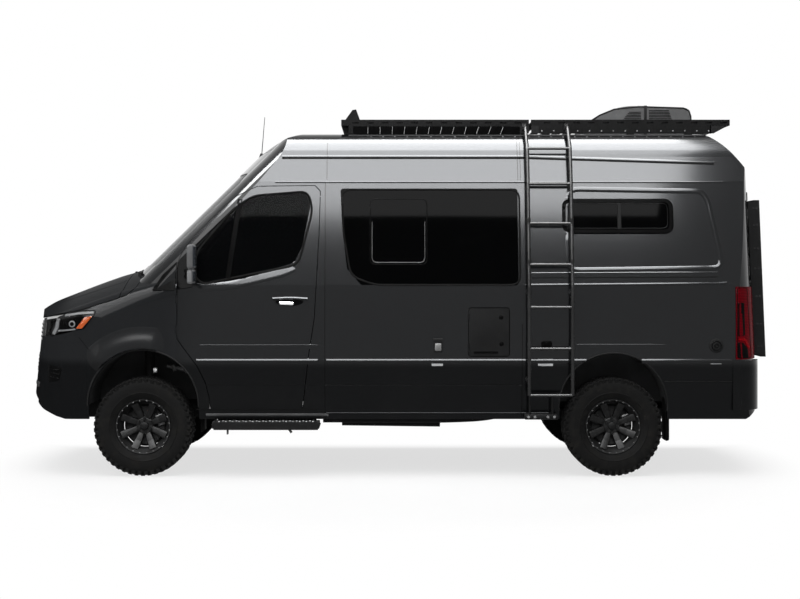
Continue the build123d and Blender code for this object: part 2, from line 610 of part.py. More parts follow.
def make_wheel(name, axle_x, side):
    """One road wheel with its brake disc, and its tyre."""
    plane = wheel_plane(axle_x, side)
    centre = (axle_x, side * HALF_TRACK, TYRE_R)
    axis = Axis(centre, (0, 1, 0))
    outline = list(TYRE_PROFILE) + [(r, -w) for r, w in reversed(TYRE_PROFILE)]
    tyre_solid = ring(plane, outline, axis)
    half = RIM_HALF_W
    barrel = ring(plane, ((RIM_INNER_R, -half), (RIM_R, -half), (RIM_R, -half + FLANGE),
                          (RIM_SEAT_R, -half + FLANGE), (RIM_SEAT_R, half - FLANGE),
                          (RIM_R, half - FLANGE), (RIM_R, half), (RIM_INNER_R, half)), axis)
    hub = ring(plane, ((0, BORE_END), (SPINDLE_R + SPINDLE_GAP, BORE_END), (SPINDLE_R + SPINDLE_GAP, HUB_END),
                       (HUB_R, HUB_END), (HUB_R, DISC_FACES[0]), (DISC_R, DISC_FACES[0]),
                       (DISC_R, DISC_FACES[1]), (HUB_R, DISC_FACES[1]), (HUB_R, HUB_FACE),
                       (32, HUB_FACE), (28, HUB_FACE + 16), (0, HUB_FACE + 16)), axis)
    with BuildPart() as spoke:
        with BuildSketch(plane):
            with BuildLine():
                Polyline((HUB_R - 6, 0), (HUB_R - 6, HUB_FACE), (150, 66), (178, 84), (RIM_INNER_R + 3, 88),
                         (RIM_INNER_R + 3, 58), (170, 48), close=True)
            make_face()
        extrude(amount=SPOKE_W / 2, both=True)
    with BuildPart() as wheel:
        add(barrel)
        add(hub)
        for index in range(SPOKES):
            add(spoke.part.rotate(axis, index * 360 / SPOKES))
    with BuildPart() as tyre:
        add(tyre_solid)
    save(wheel, "wheel_" + name)
    save(tyre, "tyre_" + name)


CORNERS = (("front_left", FA, -1), ("front_right", FA, 1), ("rear_left", RA, -1), ("rear_right", RA, 1))
for corner_name, corner_x, corner_side in CORNERS:
    make_wheel(corner_name, corner_x, corner_side)

# ---------------------------------------------------------------- knuckles, axles and frame
KINGPIN_Y = HALF_TRACK - 75.0
KINGPIN_R = 12.0
JOINT_Z = 115.0                 # height of the ball joints above and below the wheel's axis
SOCKET_R = 22.0
SOCKET_H = 30.0
KINGPIN_GAP = 0.3
SPINDLE_END_Y = HALF_TRACK + BORE_END - 1.0
ARM_H = 28.0
STRUT_Y = 640.0
STRUT_R = 40.0
SUBFRAME_Z = (228.0, 330.0)


def y_rod(radius, x, z, y_from, y_to):
    """Round bar along Y."""
    with BuildPart() as rod:
        with Locations(Location((x, (y_from + y_to) / 2, z), (90, 0, 0))):
            Cylinder(radius, abs(y_to - y_from))
    return rod.part


def z_rod(radius, x, y, z_from, z_to):
    """Round bar along Z."""
    with BuildPart() as rod:
        with Locations((x, y, (z_from + z_to) / 2)):
            Cylinder(radius, z_to - z_from)
    return rod.part


def x_rod(radius, y, z, x_from, x_to):
    """Round bar along X."""
    with BuildPart() as rod:
        with Locations(Location(((x_from + x_to) / 2, y, z), (0, 90, 0))):
            Cylinder(radius, x_to - x_from)
    return rod.part


for side, name in ((-1, "left"), (1, "right")):
    upright = box_between((FA - 28, min(side * (KINGPIN_Y - 17), side * (KINGPIN_Y + 17)), TYRE_R - JOINT_Z),
                          (FA + 28, max(side * (KINGPIN_Y - 17), side * (KINGPIN_Y + 17)), TYRE_R + JOINT_Z))
    sockets = [z_rod(SOCKET_R, FA, side * KINGPIN_Y, TYRE_R + sign * JOINT_Z - SOCKET_H / 2,
                     TYRE_R + sign * JOINT_Z + SOCKET_H / 2) for sign in (-1, 1)]
    low_hole = z_rod(KINGPIN_R + KINGPIN_GAP, FA, side * KINGPIN_Y, TYRE_R - JOINT_Z - SOCKET_H / 2 - 1,
                     TYRE_R - JOINT_Z + 8)
    high_hole = z_rod(KINGPIN_R + KINGPIN_GAP, FA, side * KINGPIN_Y, TYRE_R + JOINT_Z - 8,
                      TYRE_R + JOINT_Z + SOCKET_H / 2 + 1)
    spindle = y_rod(SPINDLE_R, FA, TYRE_R, side * KINGPIN_Y, side * SPINDLE_END_Y)
    with BuildPart() as knuckle:
        add(upright)
        add(sockets)
        add(spindle)
        add([low_hole, high_hole], mode=Mode.SUBTRACT)
    save(knuckle, "knuckle_" + name)

lower_z = TYRE_R - JOINT_Z - SOCKET_H / 2 - KINGPIN_GAP
upper_z = TYRE_R + JOINT_Z + SOCKET_H / 2 + KINGPIN_GAP
suspension_parts = [
    box_between((FA - 70, -RAIL_Y - RAIL_HALF, SUBFRAME_Z[0]), (FA + 70, RAIL_Y + RAIL_HALF, SUBFRAME_Z[1])),
    y_rod(20, FA, TYRE_R, -KINGPIN_Y + 45, KINGPIN_Y - 45),
    y_rod(95, FA, TYRE_R, -160, 160),
]
for side in (-1, 1):
    with BuildPart() as lower_arm:
        with BuildSketch(Plane.XY.offset(lower_z - ARM_H)):
            with BuildLine():
                Polyline((FA - 190, side * (RAIL_Y - 60)), (FA - 25, side * (KINGPIN_Y + 10)),
                         (FA + 25, side * (KINGPIN_Y + 10)), (FA + 190, side * (RAIL_Y - 60)), close=True)
            make_face()
        extrude(amount=ARM_H)
    with BuildPart() as upper_arm:
        with BuildSketch(Plane.XY.offset(upper_z)):
            with BuildLine():
                Polyline((FA - 70, side * (RAIL_Y - 20)), (FA - 22, side * (KINGPIN_Y + 10)),
                         (FA + 22, side * (KINGPIN_Y + 10)), (FA + 70, side * (RAIL_Y - 20)), close=True)
            make_face()
        extrude(amount=ARM_H)
    suspension_parts += [
        lower_arm.part, upper_arm.part,
        z_rod(KINGPIN_R, FA, side * KINGPIN_Y, lower_z - 5, TYRE_R - JOINT_Z + 6),
        z_rod(KINGPIN_R, FA, side * KINGPIN_Y, TYRE_R + JOINT_Z - 6, upper_z + 5),
        z_rod(STRUT_R, FA, side * STRUT_Y, lower_z - 5, ARCH_Z + ARCH_R - 6),
        box_between((FA - 70, min(side * (RAIL_Y - RAIL_HALF), side * (RAIL_Y + RAIL_HALF)), SUBFRAME_Z[0]),
                    (FA + 70, max(side * (RAIL_Y - RAIL_HALF), side * (RAIL_Y + RAIL_HALF)),
                     RAIL_Z[0] - SEAT_GAP)),
    ]
with BuildPart() as front_suspension:
    add(suspension_parts)
save(front_suspension, "front_suspension")

AXLE_R = 42.0
SPRING_LENGTH = 1400.0
SPRING_HALF_W = 35.0
axle_parts = [
    y_rod(AXLE_R, RA, TYRE_R, -KINGPIN_Y, KINGPIN_Y),
    y_rod(SPINDLE_R, RA, TYRE_R, -SPINDLE_END_Y, SPINDLE_END_Y),
]
with BuildPart() as differential:
    with Locations((RA, 0, TYRE_R)):
        Sphere(140)
    with Locations(Location((RA - 130, 0, TYRE_R), (0, 90, 0))):
        Cone(85, 50, 160, rotation=(180, 0, 0))
axle_parts.append(differential.part)
for side in (-1, 1):
    with BuildPart() as spring:
        with BuildSketch(Plane.XZ.offset(-side * RAIL_Y)):
            with BuildLine():
                eye_z = RAIL_Z[0] - 42
                low = TYRE_R + AXLE_R - 6
                half = SPRING_LENGTH / 2
                ThreePointArc((RA - half, eye_z), (RA, low), (RA + half, eye_z))
                Line((RA + half, eye_z), (RA + half, eye_z + 16))
                ThreePointArc((RA + half, eye_z + 16), (RA, low + 34), (RA - half, eye_z + 16))
                Line((RA - half, eye_z + 16), (RA - half, eye_z))
            make_face()
        extrude(amount=SPRING_HALF_W, both=True)
    axle_parts.append(spring.part)
    for end in (-1, 1):
        eye_x = RA + end * SPRING_LENGTH / 2
        axle_parts.append(y_rod(20, eye_x, eye_z + 8, side * RAIL_Y - 38, side * RAIL_Y + 38))
with BuildPart() as rear_axle:
    add(axle_parts)
save(rear_axle, "rear_axle")

RAIL_ENDS = (FA - 770.0, FA + 4740.0)
HANGER_Z = eye_z + 8
rail_parts = []
for side in (-1, 1):
    near, far = sorted((side * (RAIL_Y - RAIL_HALF), side * (RAIL_Y + RAIL_HALF)))
    rail_parts.append(box_between((RAIL_ENDS[0], near, RAIL_Z[0]), (RAIL_ENDS[1], far, RAIL_Z[1])))
    for end in (-1, 1):
        eye_x = RA + end * SPRING_LENGTH / 2
        for ear in (-1, 1):
            ear_y = side * RAIL_Y + ear * (38 + SEAT_GAP + 5)
            rail_parts.append(box_between((eye_x - 25, ear_y - 5, HANGER_Z - 22),
                                          (eye_x + 25, ear_y + 5, RAIL_Z[0] + 5)))
        rail_parts.append(box_between((eye_x - 25, side * RAIL_Y - 48, RAIL_Z[0] - 6),
                                      (eye_x + 25, side * RAIL_Y + 48, RAIL_Z[0] + 5)))
with BuildPart() as chassis_frame:
    add(rail_parts)
save(chassis_frame, "chassis_frame")

rail_inside = RAIL_Y - RAIL_HALF - SEAT_GAP
CROSS_X = (FA - 745.0, FA + 900.0, FA + 1900.0, FA + 2700.0, FA + 4000.0, FA + 4700.0)
with BuildPart() as cross_members:
    for cross_x in CROSS_X:
        add(box_between((cross_x - 30, -rail_inside, RAIL_Z[0] + 15),
                        (cross_x + 30, rail_inside, RAIL_Z[1] - 5)))
save(cross_members, "cross_members")

HITCH_OUT = 32.0                # half of the receiver tube's outside
HITCH_IN = 25.6                 # half of its opening
HITCH_Z = 480.0
HITCH_DEPTH = 200.0
hitch_end = RA + REAR_OVERHANG
HITCH_BAR_X = (FA + 4670.0, FA + 4735.0)
hitch_parts = [
    box_between((hitch_end - HITCH_DEPTH - 20, -HITCH_OUT, HITCH_Z - HITCH_OUT),
                (hitch_end, HITCH_OUT, HITCH_Z + HITCH_OUT)),
    box_between((HITCH_BAR_X[0], -RAIL_Y - RAIL_HALF, HITCH_Z - HITCH_OUT),
                (HITCH_BAR_X[1], RAIL_Y + RAIL_HALF, HITCH_Z + HITCH_OUT)),
]
for side in (-1, 1):
    near, far = sorted((side * (RAIL_Y - RAIL_HALF), side * (RAIL_Y + RAIL_HALF)))
    hitch_parts.append(box_between((HITCH_BAR_X[0], near, HITCH_Z - HITCH_OUT),
                                   (HITCH_BAR_X[1], far, RAIL_Z[0] - SEAT_GAP)))
PIN_HOLE_R = 8.15
hitch_pin_hole = y_rod(PIN_HOLE_R, hitch_end - 63, HITCH_Z, -HITCH_OUT - 5, HITCH_OUT + 5)
hitch_hole = box_between((hitch_end - HITCH_DEPTH, -HITCH_IN, HITCH_Z - HITCH_IN),
                         (hitch_end + 5, HITCH_IN, HITCH_Z + HITCH_IN))
with BuildPart() as tow_hitch:
    add(hitch_parts)
    add([hitch_hole, hitch_pin_hole], mode=Mode.SUBTRACT)
save(tow_hitch, "tow_hitch")

with BuildPart() as engine_block:
    with Locations((FA - 330, 0, 860)):
        Box(520, 520, 560)
    with Locations((FA - 330, 0, 600)):
        Box(160, 2 * (RAIL_Y - RAIL_HALF - SEAT_GAP), 60)
save(engine_block, "engine_block")

SHAFT_END_X = RA - 210.0
GEARBOX_Z = 572.0
GEARBOX_R = 85.0
GEARBOX_BAR_Z = (550.0, 600.0)
gearbox_parts = [
    x_rod(GEARBOX_R, 0, GEARBOX_Z, FA - 69, FA + 300),
    x_rod(GEARBOX_R - 10, 0, GEARBOX_Z, FA + 290, FA + 520),
    box_between((FA + 380, -rail_inside, GEARBOX_BAR_Z[0]), (FA + 440, rail_inside, GEARBOX_BAR_Z[1])),
]
with BuildPart() as shaft:
    with BuildSketch(Plane.YZ.offset(FA + 515)):
        with Locations((0, GEARBOX_Z - 20)):
            Circle(34)
    with BuildSketch(Plane.YZ.offset(SHAFT_END_X - SEAT_GAP)):
        with Locations((0, TYRE_R)):
            Circle(34)
    loft(ruled=True)
with BuildPart() as driveline:
    add(gearbox_parts)
    add(shaft.part)
save(driveline, "driveline")

with BuildPart() as fuel_tank:
    with Locations((FA + 1900, -560, 500)):
        Box(1000, 60, 180)
    with Locations((FA + 1900, -730, 500)):
        Box(1000, 340, 180)
    fillet(edges().filter_by(Axis.X), 20)
    for strap_x in (FA + 1600, FA + 2200):
        with Locations((strap_x, -560, (590 + FLOOR_Z - FLOOR_THICK - SEAT_GAP) / 2)):
            Box(60, 60, FLOOR_Z - FLOOR_THICK - SEAT_GAP - 590)
save(fuel_tank, "fuel_tank")

# ---------------------------------------------------------------- tail
body_clear = body_volume(-SEAT_GAP, 0)
BUMPER_Z = (520.0, 690.0)
BUMPER_CORNER_Z = 905.0
BUMPER_FRONT_X = RA + 925.0


def bumper_plan(bottom, top):
    """Rear bumper's plan shape between two heights."""
    with BuildPart() as block:
        with BuildSketch(Plane.XY.offset(bottom)):
            with BuildLine():
                Line((BUMPER_FRONT_X, 0), (BUMPER_FRONT_X, 1004))
                Line((BUMPER_FRONT_X, 1004), (BUMPER_FRONT_X + 60, 1004))
                start = (BUMPER_FRONT_X + 60, 1004)
                corner = (BUMPER_FRONT_X + 238, 800)
                middle = (BUMPER_FRONT_X + 338, 0)
                ThreePointArc(start, (BUMPER_FRONT_X + 175, 950), corner)
                ThreePointArc(corner, (BUMPER_FRONT_X + 315, 400), middle)
                mirror(about=Plane.XZ)
            make_face()
        extrude(amount=top - bottom)
    return block.part


bumper_block = bumper_plan(BUMPER_Z[0], BUMPER_CORNER_Z)
door_clear = box_between((BUMPER_FRONT_X - 10, -REAR_DOOR_HALF - 25, BUMPER_Z[1]),
                         (BODY_BACK, REAR_DOOR_HALF + 25, BIG))
frame_clear = box_between((BUMPER_FRONT_X - 10, -RAIL_Y - RAIL_HALF - SEAT_GAP, 400),
                          (FA + 4740 + SEAT_GAP, RAIL_Y + RAIL_HALF + SEAT_GAP, BIG))
hitch_clear = box_between((FA + 4700, -HITCH_OUT - SEAT_GAP, 400),
                          (BODY_BACK, HITCH_OUT + SEAT_GAP, HITCH_Z + HITCH_OUT + SEAT_GAP))
rise_clear = rounded_prism(Plane.XZ, ((TAIL_RISE[0][0], 0), *TAIL_RISE, (BODY_BACK, TAIL_RISE[1][1]),
                                      (BODY_BACK, 0)), BIG)
with BuildPart() as rear_bumper:
    add(bumper_block)
    add([door_clear, body_clear, frame_clear, hitch_clear, rise_clear], mode=Mode.SUBTRACT)
save(rear_bumper, "rear_bumper")

LAMP_DEPTH = 12.0
LAMP_Z = (BUMPER_CORNER_Z + 10, 1478.0)
lamp_skin = body_volume(-LAMP_DEPTH, 0)
lamp_boxes = [box_between((FA + 4611, min(side * 845, side * BIG), LAMP_Z[0]),
                          (BODY_BACK, max(side * 845, side * BIG), LAMP_Z[1])) for side in (-1, 1)]
with BuildPart() as lamp_space:
    add(lamp_boxes)
with BuildPart() as tail_lamps:
    add(lamp_skin)
    add(lamp_space.part, mode=Mode.INTERSECT)
    add(body_clear, mode=Mode.SUBTRACT)
save(tail_lamps, "tail_lamps")

CARRIER_OFF = 16.0
CARRIER_THICK = 42.0
CARRIER_Y = (-742.0, -110.0)
CARRIER_Z = (918.0, 2165.0)
CARRIER_BAR = 40.0
carrier_x = TAIL_X - 8 - (CARRIER_Z[0] - RUB_Z) * TAIL_LEAN + CARRIER_OFF
lean = Vector(-TAIL_LEAN, 0, 1)
with BuildPart() as rear_carrier:
    with BuildSketch(Plane.XY.offset(CARRIER_Z[0])):
        with Locations((carrier_x + CARRIER_THICK / 2, sum(CARRIER_Y) / 2)):
            Rectangle(CARRIER_THICK, CARRIER_Y[1] - CARRIER_Y[0])
    extrude(amount=CARRIER_Z[1] - CARRIER_Z[0], dir=lean)
    with BuildSketch(Plane.YZ.offset(carrier_x - 200)):
        slot_w = (CARRIER_Y[1] - CARRIER_Y[0] - 3 * CARRIER_BAR) / 2
        with Locations((sum(CARRIER_Y) / 2, sum(CARRIER_Z) / 2)):
            with GridLocations(slot_w + CARRIER_BAR, 195, 2, 6):
                Rectangle(slot_w, 155)
    extrude(amount=500, mode=Mode.SUBTRACT)
    with Locations([Location((carrier_x + 6 - (z - CARRIER_Z[0]) * TAIL_LEAN - 35, y, z), (0, 90, 0))
                    for y in (CARRIER_Y[0] + 20, CARRIER_Y[1] - 20) for z in (1020, 2080)]):
        Cylinder(12, 90)
    add(body_clear, mode=Mode.SUBTRACT)
save(rear_carrier, "rear_carrier")

# ---------------------------------------------------------------- roof equipment and ladder
RACK_Z = (2765.0, 2812.0)
RACK_Y = 660.0
RACK_BAR = 34.0
RACK_PLATE = 8.0                # thickness of the side plates that hang below the racks
RACK_PLATE_Z = 2700.0
SLAT_PITCH = 96.0
SLAT_W = 46.0
RACKS = ((FA + 1535.0, FA + 3040.0), (FA + 3058.0, FA + 4650.0))
AC_X = (FA + 3545.0, FA + 4415.0)
AC_HALF = 350.0
AC_TOP = 2955.0
rack_parts = []
for start, end in RACKS:
    for side in (-1, 1):
        near, far = sorted((side * (RACK_Y - RACK_BAR), side * RACK_Y))
        rack_parts.append(box_between((start, near, RACK_Z[0]), (end, far, RACK_Z[1])))
        plate_near, plate_far = sorted((side * (RACK_Y - RACK_PLATE), side * RACK_Y))
        rack_parts.append(box_between((start + 60, plate_near, RACK_PLATE_Z),
                                      (end - 150, plate_far, RACK_Z[0] + 5)))
        for foot in (start + 120, (start + end) / 2, end - 330):
            rack_parts.append(box_between((foot - 30, near, 2600), (foot + 30, far, RACK_Z[0] + 5)))
    for slat in range(int((end - start - SLAT_W) // SLAT_PITCH) + 1):
        slat_x = start + SLAT_W / 2 + slat * SLAT_PITCH
        if AC_X[0] - SLAT_W < slat_x < AC_X[1] + SLAT_W:
            continue
        rack_parts.append(box_between((slat_x - SLAT_W / 2, -RACK_Y + 5, RACK_Z[0] + 8),
                                      (slat_x + SLAT_W / 2, RACK_Y - 5, RACK_Z[0] + 30)))
    rack_parts.append(box_between((end - SLAT_W, -RACK_Y + 5, RACK_Z[0]), (end, RACK_Y - 5, RACK_Z[1])))
with BuildPart() as fairing:
    with BuildSketch(Plane.XZ):
        with BuildLine():
            Polyline((RACKS[0][0], RACK_Z[0]), (RACKS[0][0] + 90, 2890), (RACKS[0][0] + 120, 2895),
                     (RACKS[0][0] + 150, RACK_Z[1]), (RACKS[0][0] + 150, RACK_Z[0]), close=True)
        make_face()
    extrude(amount=RACK_Y - 5, both=True)
rack_parts.append(fairing.part)
with BuildPart() as roof_racks:
    add(rack_parts)
    add(body_clear, mode=Mode.SUBTRACT)
save(roof_racks, "roof_racks")

with BuildPart() as air_conditioner:
    with BuildSketch(Plane.XZ):
        with BuildLine():
            Polyline((AC_X[1] - 10, AC_TOP - 80), (AC_X[1], 2690), (AC_X[0], 2690), (AC_X[0], 2815),
                     (AC_X[0] + 110, AC_TOP - 71))
            ThreePointArc((AC_X[0] + 110, AC_TOP - 71), (AC_X[0] + 230, AC_TOP - 22), (AC_X[0] + 430, AC_TOP))
            Line((AC_X[0] + 430, AC_TOP), (AC_X[1] - 70, AC_TOP - 12))
            ThreePointArc((AC_X[1] - 70, AC_TOP - 12), (AC_X[1] - 26, AC_TOP - 32),
                          (AC_X[1] - 10, AC_TOP - 80))
        make_face()
    extrude(amount=AC_HALF, both=True)
    add(body_clear, mode=Mode.SUBTRACT)
save(air_conditioner, "air_conditioner")

LADDER_R = 14.0
LADDER_LEFT_X = FA + 3000.0
LADDER_RIGHT_X = FA + 3335.0
LADDER_PATH = (
    (-1072.0, 640.0), (-1072.0, 1480.0), (-975.0, 2290.0),
    (-915.0, 2560.0), (-760.0, 2745.0), (-674.0, 2745.0),
)
RUNG_Z = (640.0, 1000.0, 1320.0, 1650.0, 1970.0, 2280.0, 2560.0)
ladder_parts = []
for rail_x in (LADDER_LEFT_X, LADDER_RIGHT_X):
    with BuildPart() as rail:
        with BuildLine(Plane.YZ.offset(rail_x)):
            FilletPolyline(*LADDER_PATH, radius=60)
        with BuildSketch(Plane(origin=(rail_x, *LADDER_PATH[0]), z_dir=(0, 0, 1))):
            Circle(LADDER_R)
        sweep()
    ladder_parts.append(rail.part)


def ladder_y(z):
    """Sideways place of the ladder rails at a height."""
    for (y0, z0), (y1, z1) in zip(LADDER_PATH, LADDER_PATH[1:]):
        if z0 <= z <= z1:
            return y0 + (y1 - y0) * (z - z0) / (z1 - z0)
    return LADDER_PATH[-1][0]


for rung_z in RUNG_Z:
    ladder_parts.append(x_rod(LADDER_R - 2, ladder_y(rung_z), rung_z, LADDER_LEFT_X, LADDER_RIGHT_X))
for bracket_z in (760.0, 1400.0, 2200.0):
    for rail_x in (LADDER_LEFT_X, LADDER_RIGHT_X):
        ladder_parts.append(y_rod(9, rail_x, bracket_z, ladder_y(bracket_z), -900))
for rail_x in (LADDER_LEFT_X, LADDER_RIGHT_X):
    ladder_parts.append(box_between((rail_x - 15, -690, RACK_Z[0] - 34),
                                    (rail_x + 15, -RACK_Y - SEAT_GAP, RACK_Z[0] + 12)))
with BuildPart() as ladder:
    add(ladder_parts)
    add(body_clear, mode=Mode.SUBTRACT)
save(ladder, "ladder")

# ---------------------------------------------------------------- steps, flaps, mirrors
STEP_X = (FA + 560.0, FA + 1366.0)
STEP_Y = (900.0, 1060.0)
STEP_Z = (372.0, 432.0)
step_parts = []
flap_parts = []
for side in (-1, 1):
    near, far = sorted((side * STEP_Y[0], side * STEP_Y[1]))
    step_parts.append(box_between((STEP_X[0], near, STEP_Z[0]), (STEP_X[1], far, STEP_Z[1])))
    near, far = sorted((side * (RAIL_Y + RAIL_HALF + SEAT_GAP), side * (STEP_Y[0] + 20)))
    post_near, post_far = sorted((side * (RAIL_Y + RAIL_HALF + SEAT_GAP), side * (RAIL_Y + RAIL_HALF + 46)))
    for arm_x in (STEP_X[0] + 120, STEP_X[1] - 160):
        step_parts.append(box_between((arm_x - 25, near, STEP_Z[0] + 5), (arm_x + 25, far, STEP_Z[0] + 45)))
        step_parts.append(box_between((arm_x - 25, post_near, STEP_Z[0] + 5),
                                      (arm_x + 25, post_far, RAIL_Z[0] + 60)))
    near, far = sorted((side * 765, side * 905))
    for flap_x, flap_low in ((ARCH_X + ARCH_R + LINER + SEAT_GAP, 340.0),
                             (RA + REAR_ARCH_R + LINER + SEAT_GAP, 268.0)):
        flap_parts.append(box_between((flap_x, near, flap_low), (flap_x + 6, far, 600)))
with BuildPart() as side_steps:
    add(step_parts)
save(side_steps, "side_steps")
with BuildPart() as mud_flaps:
    add(flap_parts)
save(mud_flaps, "mud_flaps")

MIRROR_X = (FA + 378.0, FA + 440.0)
MIRROR_Z = (1535.0, 1805.0)
for side, name in ((-1, "left"), (1, "right")):
    near, far = sorted((side * 1045, side * 1250))
    housing = box_between((MIRROR_X[0], near, MIRROR_Z[0]), (MIRROR_X[1], far, MIRROR_Z[1]))
    arm = y_rod(16, MIRROR_X[0] + 28, MIRROR_Z[0] - 20, side * 900, side * 1120)
    stem = z_rod(16, MIRROR_X[0] + 28, side * 1120, MIRROR_Z[0] - 36, MIRROR_Z[0] + 10)
    with BuildPart() as mirror_body:
        add(housing)
        fillet(mirror_body.edges(), 18)
        add([arm, stem])
        add(body_clear, mode=Mode.SUBTRACT)
    save(mirror_body, "mirror_" + name)

# ---------------------------------------------------------------- cab and living space
SEAT_X = FA + 820.0
SEAT_Y = 440.0
seat_parts = []
for side in (-1, 1):
    with BuildPart() as seat:
        with Locations((SEAT_X + 250, side * SEAT_Y, FLOOR_Z + SEAT_GAP + 150)):
            Box(420, 420, 300)
        with Locations((SEAT_X + 250, side * SEAT_Y, FLOOR_Z + 370)):
            Box(520, 500, 140)
        with BuildSketch(Plane.XZ.offset(-side * SEAT_Y)):
            with BuildLine():
                Polyline((SEAT_X + 420, FLOOR_Z + 420), (SEAT_X + 545, FLOOR_Z + 400), (SEAT_X + 680, 1800),
                         (SEAT_X + 600, 1810), (SEAT_X + 560, 1700), close=True)
            make_face()
        extrude(amount=230, both=True)
    seat_parts.append(seat.part)
with BuildPart() as seats:
    add(seat_parts)
save(seats, "seats")

WHEEL_RIM_R = 190.0
WHEEL_RIM_TUBE = 15.0
COLUMN_TILT = 62.0              # steering wheel's plane, from level
STEER_POINT = (FA + 690.0, -SEAT_Y, 1420.0)
with BuildPart() as dashboard:
    with BuildSketch(Plane.XZ):
        with BuildLine():
            Polyline((FA + 100 + SEAT_GAP, 1000), (FA + 100 + SEAT_GAP, 1390), (FA + 330, 1440),
                     (FA + 520, 1400), (FA + 560, 1250), (FA + 420, 1000), close=True)
        make_face()
    extrude(amount=870, both=True)
    with Locations(Location(STEER_POINT, (0, COLUMN_TILT, 0))):
        Torus(WHEEL_RIM_R, WHEEL_RIM_TUBE)
        Box(2 * WHEEL_RIM_R, 40, 16)
        Cylinder(60, 40)
        with Locations((0, 0, -120)):
            Cylinder(32, 240)
save(dashboard, "dashboard")

BED_X = (FA + 3200.0, FA + 4560.0)
BED_Z = (1180.0, 1320.0)
GALLEY_X = (FA + 1560.0, FA + 2500.0)
with BuildPart() as furniture:
    with Locations((sum(BED_X) / 2, 0, sum(BED_Z) / 2)):
        Box(BED_X[1] - BED_X[0], 1780, BED_Z[1] - BED_Z[0])
    for side in (-1, 1):
        with Locations((sum(BED_X) / 2, side * 800, (BED_Z[0] + FLOOR_Z + SEAT_GAP) / 2)):
            Box(BED_X[1] - BED_X[0], 180, BED_Z[0] - FLOOR_Z - SEAT_GAP)
    with Locations((sum(GALLEY_X) / 2, -700, FLOOR_Z + SEAT_GAP + 370)):
        Box(GALLEY_X[1] - GALLEY_X[0], 440, 740)
    add(floor_cuts, mode=Mode.SUBTRACT)
save(furniture, "furniture")
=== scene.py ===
from math import cos, pi, radians, sin

import bmesh
import bpy
from mathutils import Matrix, Vector, noise
from mathutils.bvhtree import BVHTree


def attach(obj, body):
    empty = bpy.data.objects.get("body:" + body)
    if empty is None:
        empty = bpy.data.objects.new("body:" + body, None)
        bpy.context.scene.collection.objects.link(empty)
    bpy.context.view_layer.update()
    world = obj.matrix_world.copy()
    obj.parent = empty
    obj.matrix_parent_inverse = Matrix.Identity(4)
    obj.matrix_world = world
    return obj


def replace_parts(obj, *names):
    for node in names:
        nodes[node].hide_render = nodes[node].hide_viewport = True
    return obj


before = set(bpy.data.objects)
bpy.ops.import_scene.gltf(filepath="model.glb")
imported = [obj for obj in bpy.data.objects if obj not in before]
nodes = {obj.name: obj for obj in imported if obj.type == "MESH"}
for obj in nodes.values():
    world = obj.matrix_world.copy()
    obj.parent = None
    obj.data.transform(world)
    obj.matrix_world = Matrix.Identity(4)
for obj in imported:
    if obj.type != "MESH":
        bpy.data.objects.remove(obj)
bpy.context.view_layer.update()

# Measures in metres. X runs from nose to tail, Y to the vehicle's right, Z up.
FRONT_AXLE = -1.9755
REAR_AXLE = 1.6895
AXLE_Z = 0.387
HALF_TRACK = 0.867
LEFT, RIGHT = -1, 1
SIDES = ((LEFT, "left"), (RIGHT, "right"))
BODY, TRIM, EQUIPMENT, WHEEL = "body_paint", "cab_trim", "roof_equipment", "wheel_alloy"


def aft(mm):
    """Station that many millimetres behind the front axle."""
    return FRONT_AXLE + mm / 1000


# ---- shader building
def sum_of(operation, swapped=False):
    """Operator of a Value that adds one math node to its material."""
    def method(self, *other):
        terms = (*other, self) if swapped else (self, *other)
        return self.finish.node("Math", {"operation": operation}, dict(enumerate(terms)))
    return method


class Value:
    """One output of a material's nodes, which takes part in sums like a number."""
    __add__, __radd__ = sum_of("ADD"), sum_of("ADD", True)
    __sub__, __rsub__ = sum_of("SUBTRACT"), sum_of("SUBTRACT", True)
    __mul__, __rmul__ = sum_of("MULTIPLY"), sum_of("MULTIPLY", True)
    __gt__, __lt__ = sum_of("GREATER_THAN"), sum_of("LESS_THAN")
    __abs__, sine, at_least = sum_of("ABSOLUTE"), sum_of("SINE"), sum_of("MAXIMUM")

    def __init__(self, finish, socket):
        self.finish = finish
        self.socket = socket

    def swell(self, start, end, low=0.0, high=1.0):
        """Low up to start and high from end, smooth between."""
        return self.finish.node("MapRange", {"interpolation_type": "SMOOTHSTEP"},
                                {"Value": self, "From Min": start, "From Max": end,
                                 "To Min": low, "To Max": high})

    def wave(self, pitch):
        """Rises and falls between -1 and 1, once in each pitch."""
        return (self * (2 * pi / pitch)).sine()


